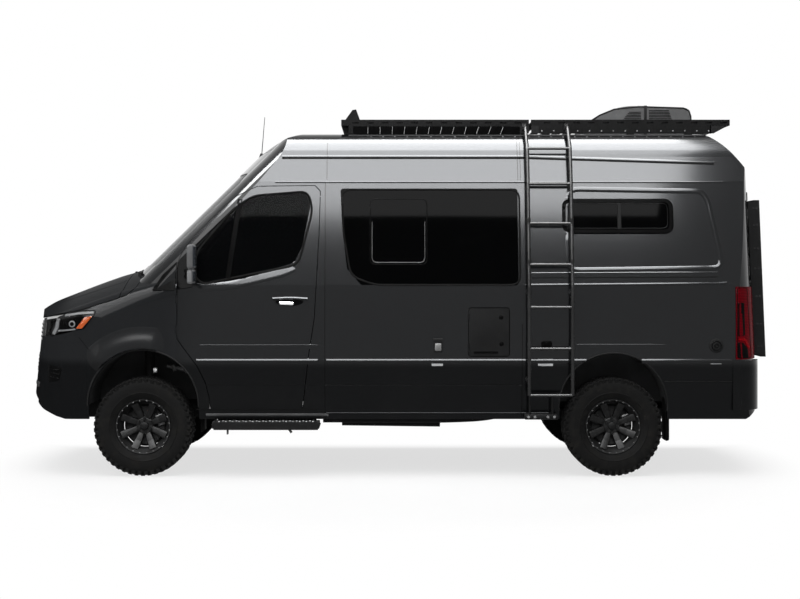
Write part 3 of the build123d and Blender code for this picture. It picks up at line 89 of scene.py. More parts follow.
class Finish:
    """A material under construction."""

    def __init__(self, name):
        self.material = bpy.data.materials.new(name)
        self.material.use_nodes = True
        self.tree = self.material.node_tree
        self.tree.nodes.clear()
        self.place = self.node("TexCoord", out="Object")
        split = self.node("SeparateXYZ", inputs={0: self.place}).socket.node
        self.x, self.y, self.z = (Value(self, socket) for socket in split.outputs)

    def node(self, kind, settings=None, inputs=None, out=0):
        made = self.tree.nodes.new("ShaderNode" + kind)
        for key, value in (settings or {}).items():
            if key != "stops":
                setattr(made, key, value)
                continue
            ramp = made.color_ramp
            while len(ramp.elements) < len(value):
                ramp.elements.new(1)
            for stop, (position, colour) in zip(ramp.elements, value):
                stop.position = position
                stop.color = (*colour, 1)
        for key, value in (inputs or {}).items():
            if isinstance(value, Value):
                self.tree.links.new(value.socket, made.inputs[key])
            else:
                made.inputs[key].default_value = value
        return Value(self, made.outputs[out]) if made.outputs else None

    def noise(self, scale, detail=2.0, stretch=(1, 1, 1)):
        spot = self.node("Mapping", inputs={"Vector": self.place, "Scale": stretch})
        return self.node("TexNoise", inputs={"Vector": spot, "Scale": scale, "Detail": detail})

    def cells(self, scale):
        return self.node("TexVoronoi", inputs={"Vector": self.place, "Scale": scale})

    def blend(self, factor, first, second):
        """Colour between two colours."""
        return self.node("Mix", {"data_type": "RGBA"}, {0: factor, 6: first, 7: second}, out=2)

    def bump(self, height, depth, strength):
        return self.node("Bump", inputs={"Height": height, "Distance": depth, "Strength": strength})

    def close(self, **values):
        """Ends the material with one Principled shader."""
        inputs = {key.replace("_", " "): value for key, value in values.items()}
        surface = self.node("BsdfPrincipled", inputs=inputs)
        self.node("OutputMaterial", inputs={"Surface": surface})
        return self.material


def grey(level, tint=0.0):
    """Opaque grey, a little blue with a positive tint."""
    return (level, level * (1 + tint * 0.4), level * (1 + tint), 1)


# ---- finishes
COAT_START = (-1.85, -1.5)         # the clear coat fades in behind the front wheels


def painted(name, base, seams=(), level=0.05):
    """Dark metallic paint with fine flake, orange peel, dust low down, and painted shade that darkens it below the
    rub line.
    """
    f = Finish(name)
    flake = f.cells(2600)
    flake_tone = f.noise(900, 1.0)
    dust = f.noise(2.2, 4.0).swell(0.45, 0.8) * f.z.swell(0.95, 0.4)
    # Painted shade: below the rub line (z 0.86 to 0.93) the colour takes low tones, about half as bright as the high
    # ones above.
    low, high = (f.blend(flake_tone.swell(0.35, 0.7), grey(base * dark, 0.1), grey(base * light, 0.14))
                 for dark, light in ((0.38, 0.6), (0.8, 1.25)))
    colour = f.blend(f.z.swell(0.86, 0.93), low, high)
    colour = f.blend(dust * 0.04, colour, (0.06, 0.057, 0.05, 1))
    rough = 0.11 + dust * 0.12 + f.noise(7, 3.0) * 0.03
    seam = None
    for way, place, start, end in seams:
        along, across = (f.z, f.x) if way == "upright" else (f.x, f.z)
        line = abs(across - place).swell(0.0015, 0.0035, 1.0, 0.0) * (along > start) * (along < end)
        seam = line if seam is None else seam + line
    height = f.noise(55, 1.0) * 0.15 + flake * 0.02
    if seam is not None:
        colour = f.blend(seam, colour, grey(0.002))
        height = height - seam * 6.0
    coat = f.z.swell(0.84, 0.9, 0.08, 0.6) * f.x.swell(*COAT_START, 0.18, 1.0) * f.x.swell(-2.78, -2.55)
    return f.close(Base_Color=colour, Metallic=f.x.swell(*COAT_START, 0.0, 0.45), Roughness=rough,
                   Specular_IOR_Level=level, Coat_Weight=coat, Coat_Roughness=0.1, Coat_IOR=1.25,
                   Normal=f.bump(height, 0.0006, 0.35))


def coated(name, base, rough=0.5, grain=900, depth=0.0004, level=0.03):
    """Powder coating or moulded plastic with a fine grain and slight wear."""
    f = Finish(name)
    patch = f.noise(6, 3.0)
    fine = f.noise(grain, 2.0)
    scuff = f.noise(38, 5.0).swell(0.62, 0.8)
    colour = f.blend(patch.swell(0.3, 0.7), grey(base * 0.85, 0.03), grey(base * 1.15, 0.05))
    colour = f.blend(scuff * 0.2, colour, grey(base * 1.9 + 0.003))
    return f.close(Base_Color=colour, Roughness=rough + patch * 0.12 - scuff * 0.08,
                   Specular_IOR_Level=level, Normal=f.bump(fine, depth, 0.6))


def glazed(name, base, clear=1.0, level=0.01):
    """Tinted glass with the faintest waviness and dust."""
    f = Finish(name)
    dust = f.noise(3.5, 4.0).swell(0.5, 0.85)
    return f.close(Base_Color=f.blend(dust * 0.008, grey(base, 0.25), grey(0.1)),
                   Roughness=0.03 + dust * 0.015, Specular_IOR_Level=level, Alpha=clear,
                   Normal=f.bump(f.noise(1.3, 1.0), 0.0008, 0.25))


def bare_metal(name, base, rough=0.35, way=(1, 1, 1), metal=1.0):
    """Bare or lacquered metal with fine brushing."""
    f = Finish(name)
    lines = f.noise(240, 2.0, way)
    stain = f.noise(14, 4.0)
    return f.close(Base_Color=f.blend(stain.swell(0.3, 0.75), grey(base * 0.85), grey(base * 1.1, 0.03)),
                   Metallic=metal, Roughness=rough + lines * 0.1 + stain * 0.08, Specular_IOR_Level=0.03,
                   Normal=f.bump(lines, 0.0002, 0.4))


def rubbery(name, base, walls=False):
    """Tyre or trim rubber with pale, dust-tinted patches; on a tyre they lie only on its outer walls, which they
    make paler.
    """
    f = Finish(name)
    pale_patch = f.noise(18, 5.0).swell(0.45, 0.75)
    outer_wall_share = abs(f.y).swell(0.955, 0.975, 0.0, 0.7) if walls else 0.5
    return f.close(Base_Color=f.blend(pale_patch * outer_wall_share, grey(base), (base * 2.2, base * 2.1, base * 1.9, 1)),
                   Roughness=0.72 + pale_patch * 0.18, Specular_IOR_Level=0.015,
                   Normal=f.bump(f.noise(420, 3.0) + f.noise(60, 2.0) * 0.5, 0.0006, 0.6))


def woven(name, base, pitch=0.0035):
    """Woven upholstery."""
    f = Finish(name)
    weave = f.x.wave(pitch) * f.z.wave(pitch) + f.y.wave(pitch) * 0.6
    shade = f.noise(9, 4.0)
    colour = f.blend(shade.swell(0.3, 0.7), grey(base * 0.8), grey(base * 1.25, 0.05))
    colour = f.blend(weave.swell(-0.4, 1.2) * 0.35, colour, grey(base * 2.1, 0.04))
    return f.close(Base_Color=colour, Roughness=0.9, Sheen_Weight=0.25,
                   Normal=f.bump(weave + f.noise(300, 2.0), 0.0007, 0.5))


def wooden(name):
    """Laminated birch with its grain along X."""
    f = Finish(name)
    rings = f.noise(9, 5.0, (0.5, 4, 9))
    pores = f.noise(160, 3.0, (0.12, 1, 2))
    tones = [(0.25, (0.3, 0.19, 0.11)), (0.5, (0.46, 0.32, 0.19)), (0.8, (0.56, 0.42, 0.27))]
    colour = f.node("ValToRGB", {"stops": tones}, {0: rings})
    return f.close(Base_Color=f.blend(pores.swell(0.55, 0.75) * 0.3, colour, (0.2, 0.12, 0.07, 1)),
                   Roughness=0.42 + pores * 0.12, Normal=f.bump(pores + rings, 0.0004, 0.4))


def ribbed_lens(name, low, high, pitch, clear=1.0, level=0.25):
    """Lamp lens with fine vertical ribs."""
    f = Finish(name)
    ribs = f.z.wave(pitch) + f.x.wave(pitch * 1.3) * 0.4
    return f.close(Base_Color=f.blend(ribs.swell(-0.8, 0.8), low, high), Specular_IOR_Level=level, Alpha=clear,
                   Roughness=0.09 + f.noise(30, 2.0) * 0.05, Normal=f.bump(ribs, 0.0009, 0.5))


SEAM_TOP = 2.29
left_seams = (
    ("upright", aft(1419), 0.45, SEAM_TOP), ("upright", aft(2953), 0.45, 1.19),
    ("level", 0.715, aft(1419), aft(2953)), ("level", 0.745, aft(4060), aft(4640)),
)
roof_seams = (("upright", -0.544, 2.312, 2.74), ("upright", 0.954, 2.312, 2.74), ("upright", 0.975, 2.312, 2.74))
paint = painted("body paint", 0.014)
nose_paint = painted("nose paint", 0.019, (), 0.0)
flare_paint = painted("wheel arch paint", 0.015, (), 0.08)
side_paint = painted("side wall paint", 0.014, left_seams)
roof_paint = painted("roof paint", 0.014, roof_seams)
mirror_shell = coated("mirror shell plastic", 0.15, 0.4, 300, 0.0002, 0.01)
black_coat = coated("black powder coat", 0.009, 0.42)
black_plastic = coated("black grained plastic", 0.008, 0.62, 500, 0.0008)
gloss_black = coated("gloss black plastic", 0.004, 0.12, 300, 0.0001, 0.008)
chassis_coat = coated("chassis wax coating", 0.006, 0.55, 120, 0.0012)
tinted_glass = glazed("tinted glass", 0.001)
door_glass = glazed("door glass", 0.002, 0.9)
tyre_rubber = rubbery("tyre rubber", 0.0065, True)
flap_rubber = rubbery("flap rubber", 0.002)
# Black rubber for the seals, also used for dark painted-shade lines in grooves and creases.
seal_rubber_and_shade = rubbery("seal rubber and painted shade", 0.003)
wheel_metal = bare_metal("dark wheel lacquer", 0.012, 0.4, metal=0.4)
steel = bare_metal("brushed steel", 0.42, 0.34, (1, 1, 12))
dull_steel = bare_metal("dull steel", 0.07, 0.5, metal=0.7)
bright_metal = bare_metal("bright metal", 0.75, 0.12)
cast_metal = bare_metal("cast metal", 0.015, 0.6, metal=0.6)
seat_cloth = woven("seat cloth", 0.035)
pale_cloth = woven("mattress cloth", 0.2, 0.005)
cabinet_wood = wooden("cabinet wood")
lamp_lens = ribbed_lens("clear lamp lens", grey(0.006), grey(0.014), 0.02, 0.3, 0.01)
red_lens = ribbed_lens("red lamp lens", (0.07, 0.001, 0.003, 1), (0.15, 0.002, 0.006, 1), 0.012, 1.0, 0.01)
bright_red = ribbed_lens("lit red lens", (0.12, 0.002, 0.004, 1), (0.3, 0.004, 0.008, 1), 0.012, 1.0, 0.01)
amber_lens = ribbed_lens("amber lamp lens", (0.45, 0.07, 0.006, 1), (0.75, 0.13, 0.015, 1), 0.008)
white_plastic = coated("white plastic", 0.55, 0.4, 300, 0.0002)
mirror_glass = glazed("mirror glass", 0.05, 1.0, 0.04)
lamp_white = coated("pale lamp plastic", 0.22, 0.25, 300, 0.0002)
lamp_shade = coated("lamp housing", 0.02, 0.2, 300, 0.0002)
ladder_coat = coated("ladder enamel", 0.016, 0.22, 300, 0.0002, 0.13)
# Painted highlight: pale grey plastic for the light line under the front doors.
sill_highlight_plastic = coated("sill painted highlight plastic", 0.07, 0.4, 300, 0.0002, 0.05)
dash_plastic = coated("dash plastic", 0.035, 0.6, 350, 0.0006)

NODE_FINISHES = (
    (side_paint, "side_left"), (roof_paint, "roof"), (nose_paint, "hood fenders front_bumper cowl"),
    (paint, "side_right front_door_left front_door_right sliding_door rear_door_left rear_door_right rear_bumper"),
    (coated("hatch door plastic", 0.012, 0.4, 400, 0.0003, 0.02), "service_hatch"),
    (coated("ribbed floor covering", 0.05, 0.7, 200, 0.0012), "floor_pan"),
    (glazed("windscreen glass", 0.02, 0.55, 0.03), "windshield"),
    (gloss_black, "grille mirror_left mirror_right"), (lamp_lens, "headlamps"), (red_lens, "tail_lamps"),
    (door_glass, "door_glass_left door_glass_right"), (black_coat, "rear_carrier tow_hitch"),
    (tinted_glass, "side_windows rear_glass_left rear_glass_right"),
    (cast_metal, "knuckle_left knuckle_right engine_block"),
    (coated("arch liner felt", 0.022, 0.8, 500, 0.001), "arch_liners"),
    (chassis_coat, "chassis_frame cross_members rear_axle front_suspension driveline fuel_tank"),
    (coated("rack coating", 0.007, 0.5, level=0.016), "roof_racks"),
    (coated("cooler shell plastic", 0.055, 0.36, 300, 0.0003, 0.13), "air_conditioner"),
    (ladder_coat, "ladder"), (coated("step coating", 0.012, 0.5, 300, 0.0004, 0.02), "side_steps"),
    (flap_rubber, "mud_flaps"), (seat_cloth, "seats"), (dash_plastic, "dashboard"),
    (cabinet_wood, "furniture"),
    (wheel_metal, "wheel_front_left wheel_front_right wheel_rear_left wheel_rear_right"),
    (tyre_rubber, "tyre_front_left tyre_front_right tyre_rear_left tyre_rear_right"),
)
for finish, names in NODE_FINISHES:
    for name in names.split():
        node_slots = nodes[name].data.materials
        node_slots.clear()
        node_slots.append(finish)

# ---- camera, floor and light
CAMERA_PLACE, CAMERA_LENS, CAMERA_SHIFT = (-0.0924, -11.77, 1.667), 62.37, (0.01925, -0.04625)
scene = bpy.context.scene
scene.view_settings.view_transform = "Standard"
camera = bpy.data.objects.new("camera", bpy.data.cameras.new("camera"))
scene.collection.objects.link(camera)
camera.location = CAMERA_PLACE
camera.rotation_euler = (pi / 2, 0, 0)
camera.data.sensor_width = 36
camera.data.lens = CAMERA_LENS
camera.data.shift_x, camera.data.shift_y = CAMERA_SHIFT
scene.camera = camera


def area_light(name, place, aim, wide, deep, power):
    """Soft rectangular lamp that faces a point."""
    lamp = bpy.data.lights.new(name, "AREA")
    lamp.shape = "RECTANGLE"
    lamp.size, lamp.size_y = wide, deep
    lamp.energy = power
    holder = bpy.data.objects.new(name, lamp)
    scene.collection.objects.link(holder)
    holder.location = place
    holder.rotation_euler = (Vector(aim) - Vector(place)).to_track_quat("-Z", "Y").to_euler()
    return holder


area_light("overhead bank", (0, -3.0, 9.0), (0, -1.0, 0), 12, 8, 620)
area_light("front fill", (-9, -6.0, 4.0), (-2, 0, 1), 4, 4, 60)


BANK_ENDS = (-12.0, 4.3)            # x of the sheen banks' ends


def sheen_bank(name, start, end, radiance):
    """Long lamp between two points of (y, z), seen only in glossy surfaces."""
    near, far = Vector((0, *start)), Vector((0, *end))
    run = far - near
    middle = (near + far) / 2 + Vector((sum(BANK_ENDS) / 2, 0, 0))
    wide = BANK_ENDS[1] - BANK_ENDS[0]
    lamp = area_light(name, middle, middle + Vector((0, run.z, -run.y)), wide, run.length,
                      radiance * pi * wide * run.length)
    lamp.visible_diffuse = lamp.visible_camera = False


for name, start, end, radiance in (
    ("low sheen bank", (-12.0, 5.2), (-9.3, 6.94), 25), ("middle sheen bank", (-9.3, 6.94), (-6.6, 8.68), 28),
    ("high sheen bank", (-6.6, 8.68), (-2.4, 11.4), 44), ("top sheen bank", (-2.4, 11.4), (1.6, 12.4), 44),
):
    sheen_bank(name, start, end, radiance)

world = bpy.data.worlds.new("studio")
scene.world = world
world.use_nodes = True


class Studio(Finish):
    """Nodes of the world or the floor, both of which show white to rays that see them."""

    def __init__(self, tree):
        self.tree = tree
        tree.nodes.clear()
        self.place = self.node("TexCoord", out="Object")
        rays = self.node("LightPath").socket.node
        camera_ray, glossy_ray, clear_ray = (Value(self, rays.outputs["Is %s Ray" % kind])
                                             for kind in ("Camera", "Glossy", "Transmission"))
        self.seen = camera_ray.at_least(glossy_ray.at_least(clear_ray))


sky = Studio(world.node_tree)
glow = sky.node("Background", inputs={"Color": grey(1.0), "Strength": sky.seen.swell(0, 1, 0.45, 1.0)})
sky.node("OutputWorld", inputs={"Surface": glow})

floor_mesh = bmesh.new()
bmesh.ops.create_grid(floor_mesh, x_segments=1, y_segments=1, size=60)
floor_data = bpy.data.meshes.new("floor")
floor_mesh.to_mesh(floor_data)
floor = bpy.data.objects.new("floor", floor_data)
scene.collection.objects.link(floor)
floor_material = bpy.data.materials.new("pale studio floor")
floor_material.use_nodes = True
look = Studio(floor_material.node_tree)
tone = look.blend(look.noise(0.6, 3.0).swell(0.3, 0.7), grey(0.84), grey(0.88))
near = look.node("BsdfPrincipled", inputs={"Base Color": tone, "Roughness": 0.9, "Specular IOR Level": 0.1})
white = look.node("Emission", inputs={"Color": grey(1.0), "Strength": 1.0})
reach = look.node("VectorMath", {"operation": "LENGTH"}, {0: look.place}, out="Value")
beyond = look.node("SeparateXYZ", inputs={0: look.place}, out="Y").swell(-0.1, 1.05)
bleach = reach.swell(2.75, 3.45, 0.7, 1.0).at_least(beyond)
surface = look.node("MixShader", inputs={0: bleach * look.seen, 1: near, 2: white})
look.node("OutputMaterial", inputs={"Surface": surface})
floor.data.materials.append(floor_material)

# ---- mesh helpers
def piece(name, shape, finish, body="vehicle", sharp=35):
    """Turns a finished bmesh into a shown piece that rides on a body."""
    bmesh.ops.remove_doubles(shape, verts=shape.verts, dist=0.00001)
    bmesh.ops.recalc_face_normals(shape, faces=shape.faces)
    data = bpy.data.meshes.new(name)
    shape.to_mesh(data)
    shape.free()
    data.shade_smooth()
    data.set_sharp_from_angle(angle=radians(sharp))
    data.materials.append(finish)
    made = bpy.data.objects.new(name, data)
    scene.collection.objects.link(made)
    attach(made, body)
    return made


def built(name, finish, forms, body="vehicle", slot=TRIM, sharp=35):
    """Piece of several forms, each given as its function and what follows the mesh."""
    shape = bmesh.new()
    for form, *details in forms:
        form(shape, *details)
    return piece(name, shape, finish, body, sharp)


def for_side(value, side):
    """What a form is given for the right-hand side, turned to one side."""
    if value is skins:
        return skins[side]
    if isinstance(value, (tuple, Vector)) and len(value) == 3:
        return Vector((value[0], side * value[1], value[2]))
    return value


def pair(name, finish, forms, body="vehicle", slot=TRIM):
    """The same piece on both sides, in forms given for the right-hand one."""
    made = []
    for side, word in SIDES:
        turned_forms = [[for_side(value, side) for value in form] for form in forms]
        own_body = body + word if body.endswith("_") else body
        made.append(built("%s_%s" % (name, word), finish, turned_forms, own_body, slot))
    return made


def placed(shape, verts, matrix):
    """Moves some corners by a matrix."""
    bmesh.ops.transform(shape, matrix=matrix, verts=verts)


def cube(shape):
    """Corners of a new unit cube."""
    return bmesh.ops.create_cube(shape, size=1)["verts"]


def soften(shape, verts, width, steps=2):
    """Bevels every edge between the given corners."""
    corners = set(verts)
    edges = [e for e in shape.edges if e.verts[0] in corners and e.verts[1] in corners]
    bmesh.ops.bevel(shape, geom=edges, offset=width, segments=steps, profile=0.5, affect="EDGES",
                    offset_type="OFFSET", material=-1)


def block(shape, low, high, soft=0.0, steps=2):
    """Box between two corners, with softened edges."""
    low, high = Vector(low), Vector(high)
    size = [abs(span) for span in high - low]
    verts = cube(shape)
    placed(shape, verts, Matrix.Translation((low + high) / 2) @ Matrix.Diagonal((*size, 1)))
    if soft:
        soften(shape, verts, soft, steps)


def bar(shape, start, end, radius, sides=16, radius_end=None):
    """Round bar or cone between two points."""
    start, end = Vector(start), Vector(end)
    way = end - start
    turn = Vector((0, 0, 1)).rotation_difference(way).to_matrix().to_4x4()
    bmesh.ops.create_cone(shape, cap_ends=True, segments=sides, radius1=radius,
                          radius2=radius if radius_end is None else radius_end, depth=way.length,
                          matrix=Matrix.Translation((start + end) / 2) @ turn)


def bolt(shape, at, way, radius=0.007, thick=0.006):
    """Hexagon head on a washer, standing on a surface."""
    at, way = Vector(at), Vector(way).normalized()
    bar(shape, at - way * 0.002, at + way * thick, radius, 6)
    bar(shape, at - way * 0.002, at + way * thick * 0.35, radius * 1.35, 16)


def prism(shape, outline, near, far):
    """Solid between two crosswise planes, its outline in (x, z)."""
    ends = [[shape.verts.new((x, y, z)) for x, z in outline] for y in (near, far)]
    shape.faces.new(ends[0])
    shape.faces.new(reversed(ends[1]))
    for k in range(len(outline)):
        shape.faces.new((ends[0][k - 1], ends[0][k], ends[1][k], ends[1][k - 1]))


def turned(shape, profile, centre, side, steps=64):
    """Spins a profile of (radius, outward distance) about a crosswise axis through a point."""
    verts = [shape.verts.new(centre + Vector((0, side * out, radius))) for radius, out in profile]
    edges = [shape.edges.new(pair) for pair in zip(verts, verts[1:])]
    bmesh.ops.spin(shape, geom=verts + edges, cent=centre, axis=(0, 1, 0), dvec=(0, 0, 0),
                   angle=2 * pi, steps=steps, use_merge=True, use_duplicate=False)


def pipe(name, points, radius, finish):
    """Smooth round tube along a line of points."""
    curve = bpy.data.curves.new(name, "CURVE")
    curve.dimensions = "3D"
    curve.bevel_depth = radius
    curve.bevel_resolution = 3
    curve.use_fill_caps = True
    line = curve.splines.new("NURBS")
    line.points.add(len(points) - 1)
    for spot, point in zip(line.points, points):
        spot.co = (*point, 1)
    line.order_u = 3
    line.use_endpoint_u = True
    holder = bpy.data.objects.new(name + "_line", curve)
    scene.collection.objects.link(holder)
    data = bpy.data.meshes.new_from_object(holder)
    bpy.data.objects.remove(holder)
    shape = bmesh.new()
    shape.from_mesh(data)
    return piece(name, shape, finish)


class Skin:
    """One face of the vehicle, on which two of the three coordinates name a spot."""
    nudges = ((0, 0), (0.008, 0), (-0.008, 0), (0, 0.008), (0, -0.008), (0.03, 0), (0, -0.03))

    def __init__(self, out, axes, least, names):
        self.out = Vector(out)
        self.axes = axes
        self.least = least
        verts, faces = [], []
        for name in names.split():
            mesh = nodes[name].data
            start = len(verts)
            verts += [v.co.copy() for v in mesh.vertices]
            faces += [[start + i for i in p.vertices] for p in mesh.polygons]
        self.tree = BVHTree.FromPolygons(verts, faces)

    def set_spot(self, place, a, b):
        place[self.axes[0]], place[self.axes[1]] = a, b
        return place

    def spot(self, a, b, lift=0.0):
        """Point on the face, or standing proud of it by the lift."""
        for shift_a, shift_b in self.nudges:
            start = self.set_spot(self.out * 6, a + shift_a, b + shift_b)
            hit = self.tree.ray_cast(start, -self.out)[0]
            if hit and hit.dot(self.out) > self.least:
                return self.set_spot(hit + self.out * lift, a, b)
        return self.set_spot(self.out * (self.least + lift), a, b)


SHARED_SKIN = "fenders front_bumper roof rear_bumper hood side_windows headlamps tail_lamps "
left = Skin((0, -1, 0), (0, 2), 0.55, SHARED_SKIN + "side_left front_door_left service_hatch door_glass_left")
right = Skin((0, 1, 0), (0, 2), 0.55, SHARED_SKIN + "side_right front_door_right sliding_door door_glass_right")
skins = {LEFT: left, RIGHT: right}
nose_skin = Skin((-1, 0, 0), (1, 2), 1.2, "front_bumper grille hood headlamps fenders cowl windshield roof")
tail_skin = Skin((1, 0, 0), (1, 2), 2.5,
                 "rear_door_left rear_door_right rear_glass_left rear_glass_right side_left side_right roof")
top_skin = Skin((0, 0, 1), (0, 1), 1.1, "roof hood windshield cowl")


def crown(v):
    """Round-topped cross-section of a strip."""
    return max(0.0, 1 - v * v) ** 0.5


def swell(v):
    """Cross-section that runs out smoothly at both edges."""
    return (1 - v * v) ** 2


def flat(v):
    """Flat-topped cross-section with rolled edges."""
    return min(1.0, (1 - abs(v)) * 5) ** 0.5 if abs(v) < 1 else 0.0


def shoulder(v):
    """Cross-section that swells towards one edge."""
    return 0.5 + 0.5 * cos(pi * (v + 1) / 2)


SUNK = 0.003                        # depth of a strip's edges under the face
STRIP_BACK = 0.006                  # thickness of a strip behind its face
RIM = 0.999                         # grid coordinates past this lie on the border


def draped(shape, skin, path, width, proud, profile=crown, across=8, closed=False, fade=0):
    """Raised strip along a line of a face's own coordinates, sinking away at its ends over the fade."""
    points = [Vector(p) for p in path]
    count = len(points) if closed else len(points) - 1
    made = bmesh.ops.create_grid(shape, x_segments=count, y_segments=across, size=1)["verts"]
    for vert in made:
        station = round((vert.co.x + 1) / 2 * count)
        v = vert.co.y
        before, here, after = (points[k % count if closed else min(max(k, 0), count)]
                               for k in (station - 1, station, station + 1))
        way = (after - before).normalized()
        spot = here + Vector((-way.y, way.x)) * (v * width / 2)
        rise = min(1, station / fade, (count - station) / fade) ** 2 if fade else 1
        height = proud * profile(v) * rise - SUNK * (1 - rise)
        vert.co = skin.spot(spot.x, spot.y, -SUNK if abs(v) > RIM else height)
    ours = set(made)
    faces = [f for f in shape.faces if ours.issuperset(f.verts)]
    back = bmesh.ops.extrude_face_region(shape, geom=faces, use_keep_orig=True)["geom"]
    behind = [v for v in back if isinstance(v, bmesh.types.BMVert)]
    bmesh.ops.translate(shape, verts=behind, vec=skin.out * -STRIP_BACK)


def fine(points, step=0.035):
    """The same line with points at an even, closer spacing."""
    out = []
    for start, end in zip(points, points[1:]):
        a, b = Vector(start), Vector(end)
        count = max(1, round((b - a).length / step))
        out += [a.lerp(b, i / count) for i in range(count)]
    return out + [Vector(points[-1])]


def rounded(points, radius, closed=True, steps=5):
    """Outline with its corners rounded, and long runs divided."""
    out = []
    spots = [Vector(p) for p in points]
    for i, spot in enumerate(spots):
        if not closed and i in (0, len(spots) - 1):
            out.append(spot)
            continue
        a, b = spots[i - 1] - spot, spots[(i + 1) % len(spots)] - spot
        reach = min(radius, a.length * 0.45, b.length * 0.45)
        start, end = spot + a.normalized() * reach, spot + b.normalized() * reach
        for k in range(steps + 1):
            t = k / steps
            out.append((1 - t) ** 2 * start + 2 * t * (1 - t) * spot + t * t * end)
    return fine(out + out[:1])[:-1] if closed else fine(out)


def pad(a, b, c, d, radius):
    """Rounded rectangle between two opposite corners."""
    return rounded([(a, b), (c, b), (c, d), (a, d)], radius)


def arc(centre, radius, start, end, steps=24):
    """Points on an arc, its angles in degrees."""
    angles = [radians(start + (end - start) * i / steps) for i in range(steps + 1)]
    return [(centre[0] + radius * cos(a), centre[1] + radius * sin(a)) for a in angles]


def disc(centre, radius, steps=28):
    """Round outline for a plate."""
    return arc(centre, radius, 0, 360 - 360 / steps, steps - 1)


def strip(name, skin, path, width, proud, finish, body="vehicle", slot=TRIM,
          profile=crown, closed=False, across=8, fade=0, bend=0):
    """Piece of one draped strip, or one on each side; a bend rounds the corners of its path."""
    if bend:
        path = rounded(path, bend, closed)
    elif not closed:
        path = fine(path)
    form = (draped, skin, path, width, proud, profile, across, closed, fade)
    (pair if skin is skins else built)(name, finish, [form], body, slot)


def plate(shape, skin, outline, proud, soft=0.003, sunk=0.004):
    """Small plate on a face, inside an outline, standing proud of it with a rounded edge."""
    middle = sum((Vector(p) for p in outline), Vector((0, 0))) / len(outline)

    def ring(shrink, lift):
        spots = [Vector(p) + (middle - Vector(p)).normalized() * shrink for p in outline]
        return [shape.verts.new(skin.spot(p.x, p.y, lift)) for p in spots]

    rings = [ring(0, -sunk), ring(0, proud - soft), ring(soft * 0.4, proud - soft * 0.4), ring(soft * 1.5, proud)]
    loops = [[shape.edges.new((verts[i - 1], verts[i])) for i in range(len(verts))] for verts in rings]
    for lower, upper in zip(loops, loops[1:]):
        bmesh.ops.bridge_loops(shape, edges=lower + upper)
    shape.faces.new(rings[-1])
    shape.faces.new(rings[0])


def plates(name, skin, finish, *rows, body="vehicle", slot=TRIM):
    """Piece of plates, or one on each side, each row holding an outline and how proud it stands."""
    (pair if skin is skins else built)(name, finish, [(plate, skin, *row) for row in rows], body, slot)


# ---- wheels and tyres
CORNERS = (
    ("front_left", FRONT_AXLE, LEFT, "knuckle_left"), ("front_right", FRONT_AXLE, RIGHT, "knuckle_right"),
    ("rear_left", REAR_AXLE, LEFT, "vehicle"), ("rear_right", REAR_AXLE, RIGHT, "vehicle"),
)
TYRE_PROFILE = (        # radius, distance outward from the tyre's middle plane
    (0.2175, 0.0925), (0.224, 0.095), (0.236, 0.103), (0.252, 0.112), (0.262, 0.1155), (0.266, 0.1185),
    (0.27, 0.1165), (0.3, 0.1195), (0.318, 0.1185), (0.338, 0.1165), (0.352, 0.112), (0.366, 0.106),
    (0.374, 0.096), (0.3775, 0.075), (0.379, 0.04), (0.3795, 0.0),
)
LUG_COUNT = 46
TREAD_BASE, TREAD_ROOT = 0.3785, 0.008
LUG_TAPER = (0.84, 0.88)
WALL_LUG_SHIFT = 0.068              # the outward row is set round by this angle
LUG_ROWS = (            # half pitches round, distance out, tilt, length, width, height
    (0, -0.094, -0.1, 0.034, 0.036, 0.0075), (1, -0.052, 0.45, 0.026, 0.034, 0.0078),
    (1, 0.094, 0.1, 0.034, 0.036, 0.0075), (2, 0.052, -0.45, 0.026, 0.034, 0.0078),
    (0, 0.014, 0.5, 0.024, 0.026, 0.0078), (1, -0.016, 0.5, 0.024, 0.026, 0.0078),
)


def tread_lug(shape, middle, turn, out, tilt, length, width, height):
    """One lug of tread, at an angle round the tyre and a distance from its middle plane."""
    verts = cube(shape)
    for vert in verts:
        if vert.co.z > 0:
            vert.co.x *= LUG_TAPER[0]
            vert.co.y *= LUG_TAPER[1]
    place = (Matrix.Translation(middle) @ Matrix.Rotation(turn, 4, "Y")
             @ Matrix.Translation((0, out, TREAD_BASE - TREAD_ROOT + height / 2)) @ Matrix.Rotation(tilt, 4, "Z")
             @ Matrix.Diagonal((length, width, height + TREAD_ROOT, 1)))
    placed(shape, verts, place)


def wall_lug(shape, middle, turn, way, deep):
    """One block on the tyre's shoulder, on the outward or the inward side."""
    verts = cube(shape)
    placed(shape, verts, Matrix.Translation(middle) @ Matrix.Rotation(turn, 4, "Y")
           @ Matrix.Translation((0, way * 0.1105, 0.369 - deep / 2 + 0.006))
           @ Matrix.Rotation(way * -0.16, 4, "X") @ Matrix.Diagonal((0.03, 0.012, deep, 1)))
    soften(shape, verts, 0.0025, 1)


def make_tyre(corner, middle, side):
    inner_half = [(radius, -out) for radius, out in reversed(TYRE_PROFILE[:-1])]
    half = pi / LUG_COUNT
    forms = [(turned, list(TYRE_PROFILE) + inner_half, middle, side, 120)]
    forms += [(tread_lug, middle, (2 * lug + halves) * half, *row)
              for lug in range(LUG_COUNT) for halves, *row in LUG_ROWS]
    forms += [(wall_lug, middle, (2 * lug + 1) * half + shift, way, 0.046 if lug % 2 else 0.03)
              for lug in range(LUG_COUNT) for way, shift in ((-1, 0), (1, WALL_LUG_SHIFT))]
    made = built("dressed_tyre_" + corner, tyre_rubber, forms, "wheel_" + corner, "tyre_rubber", 30)
    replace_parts(made, "tyre_" + corner)


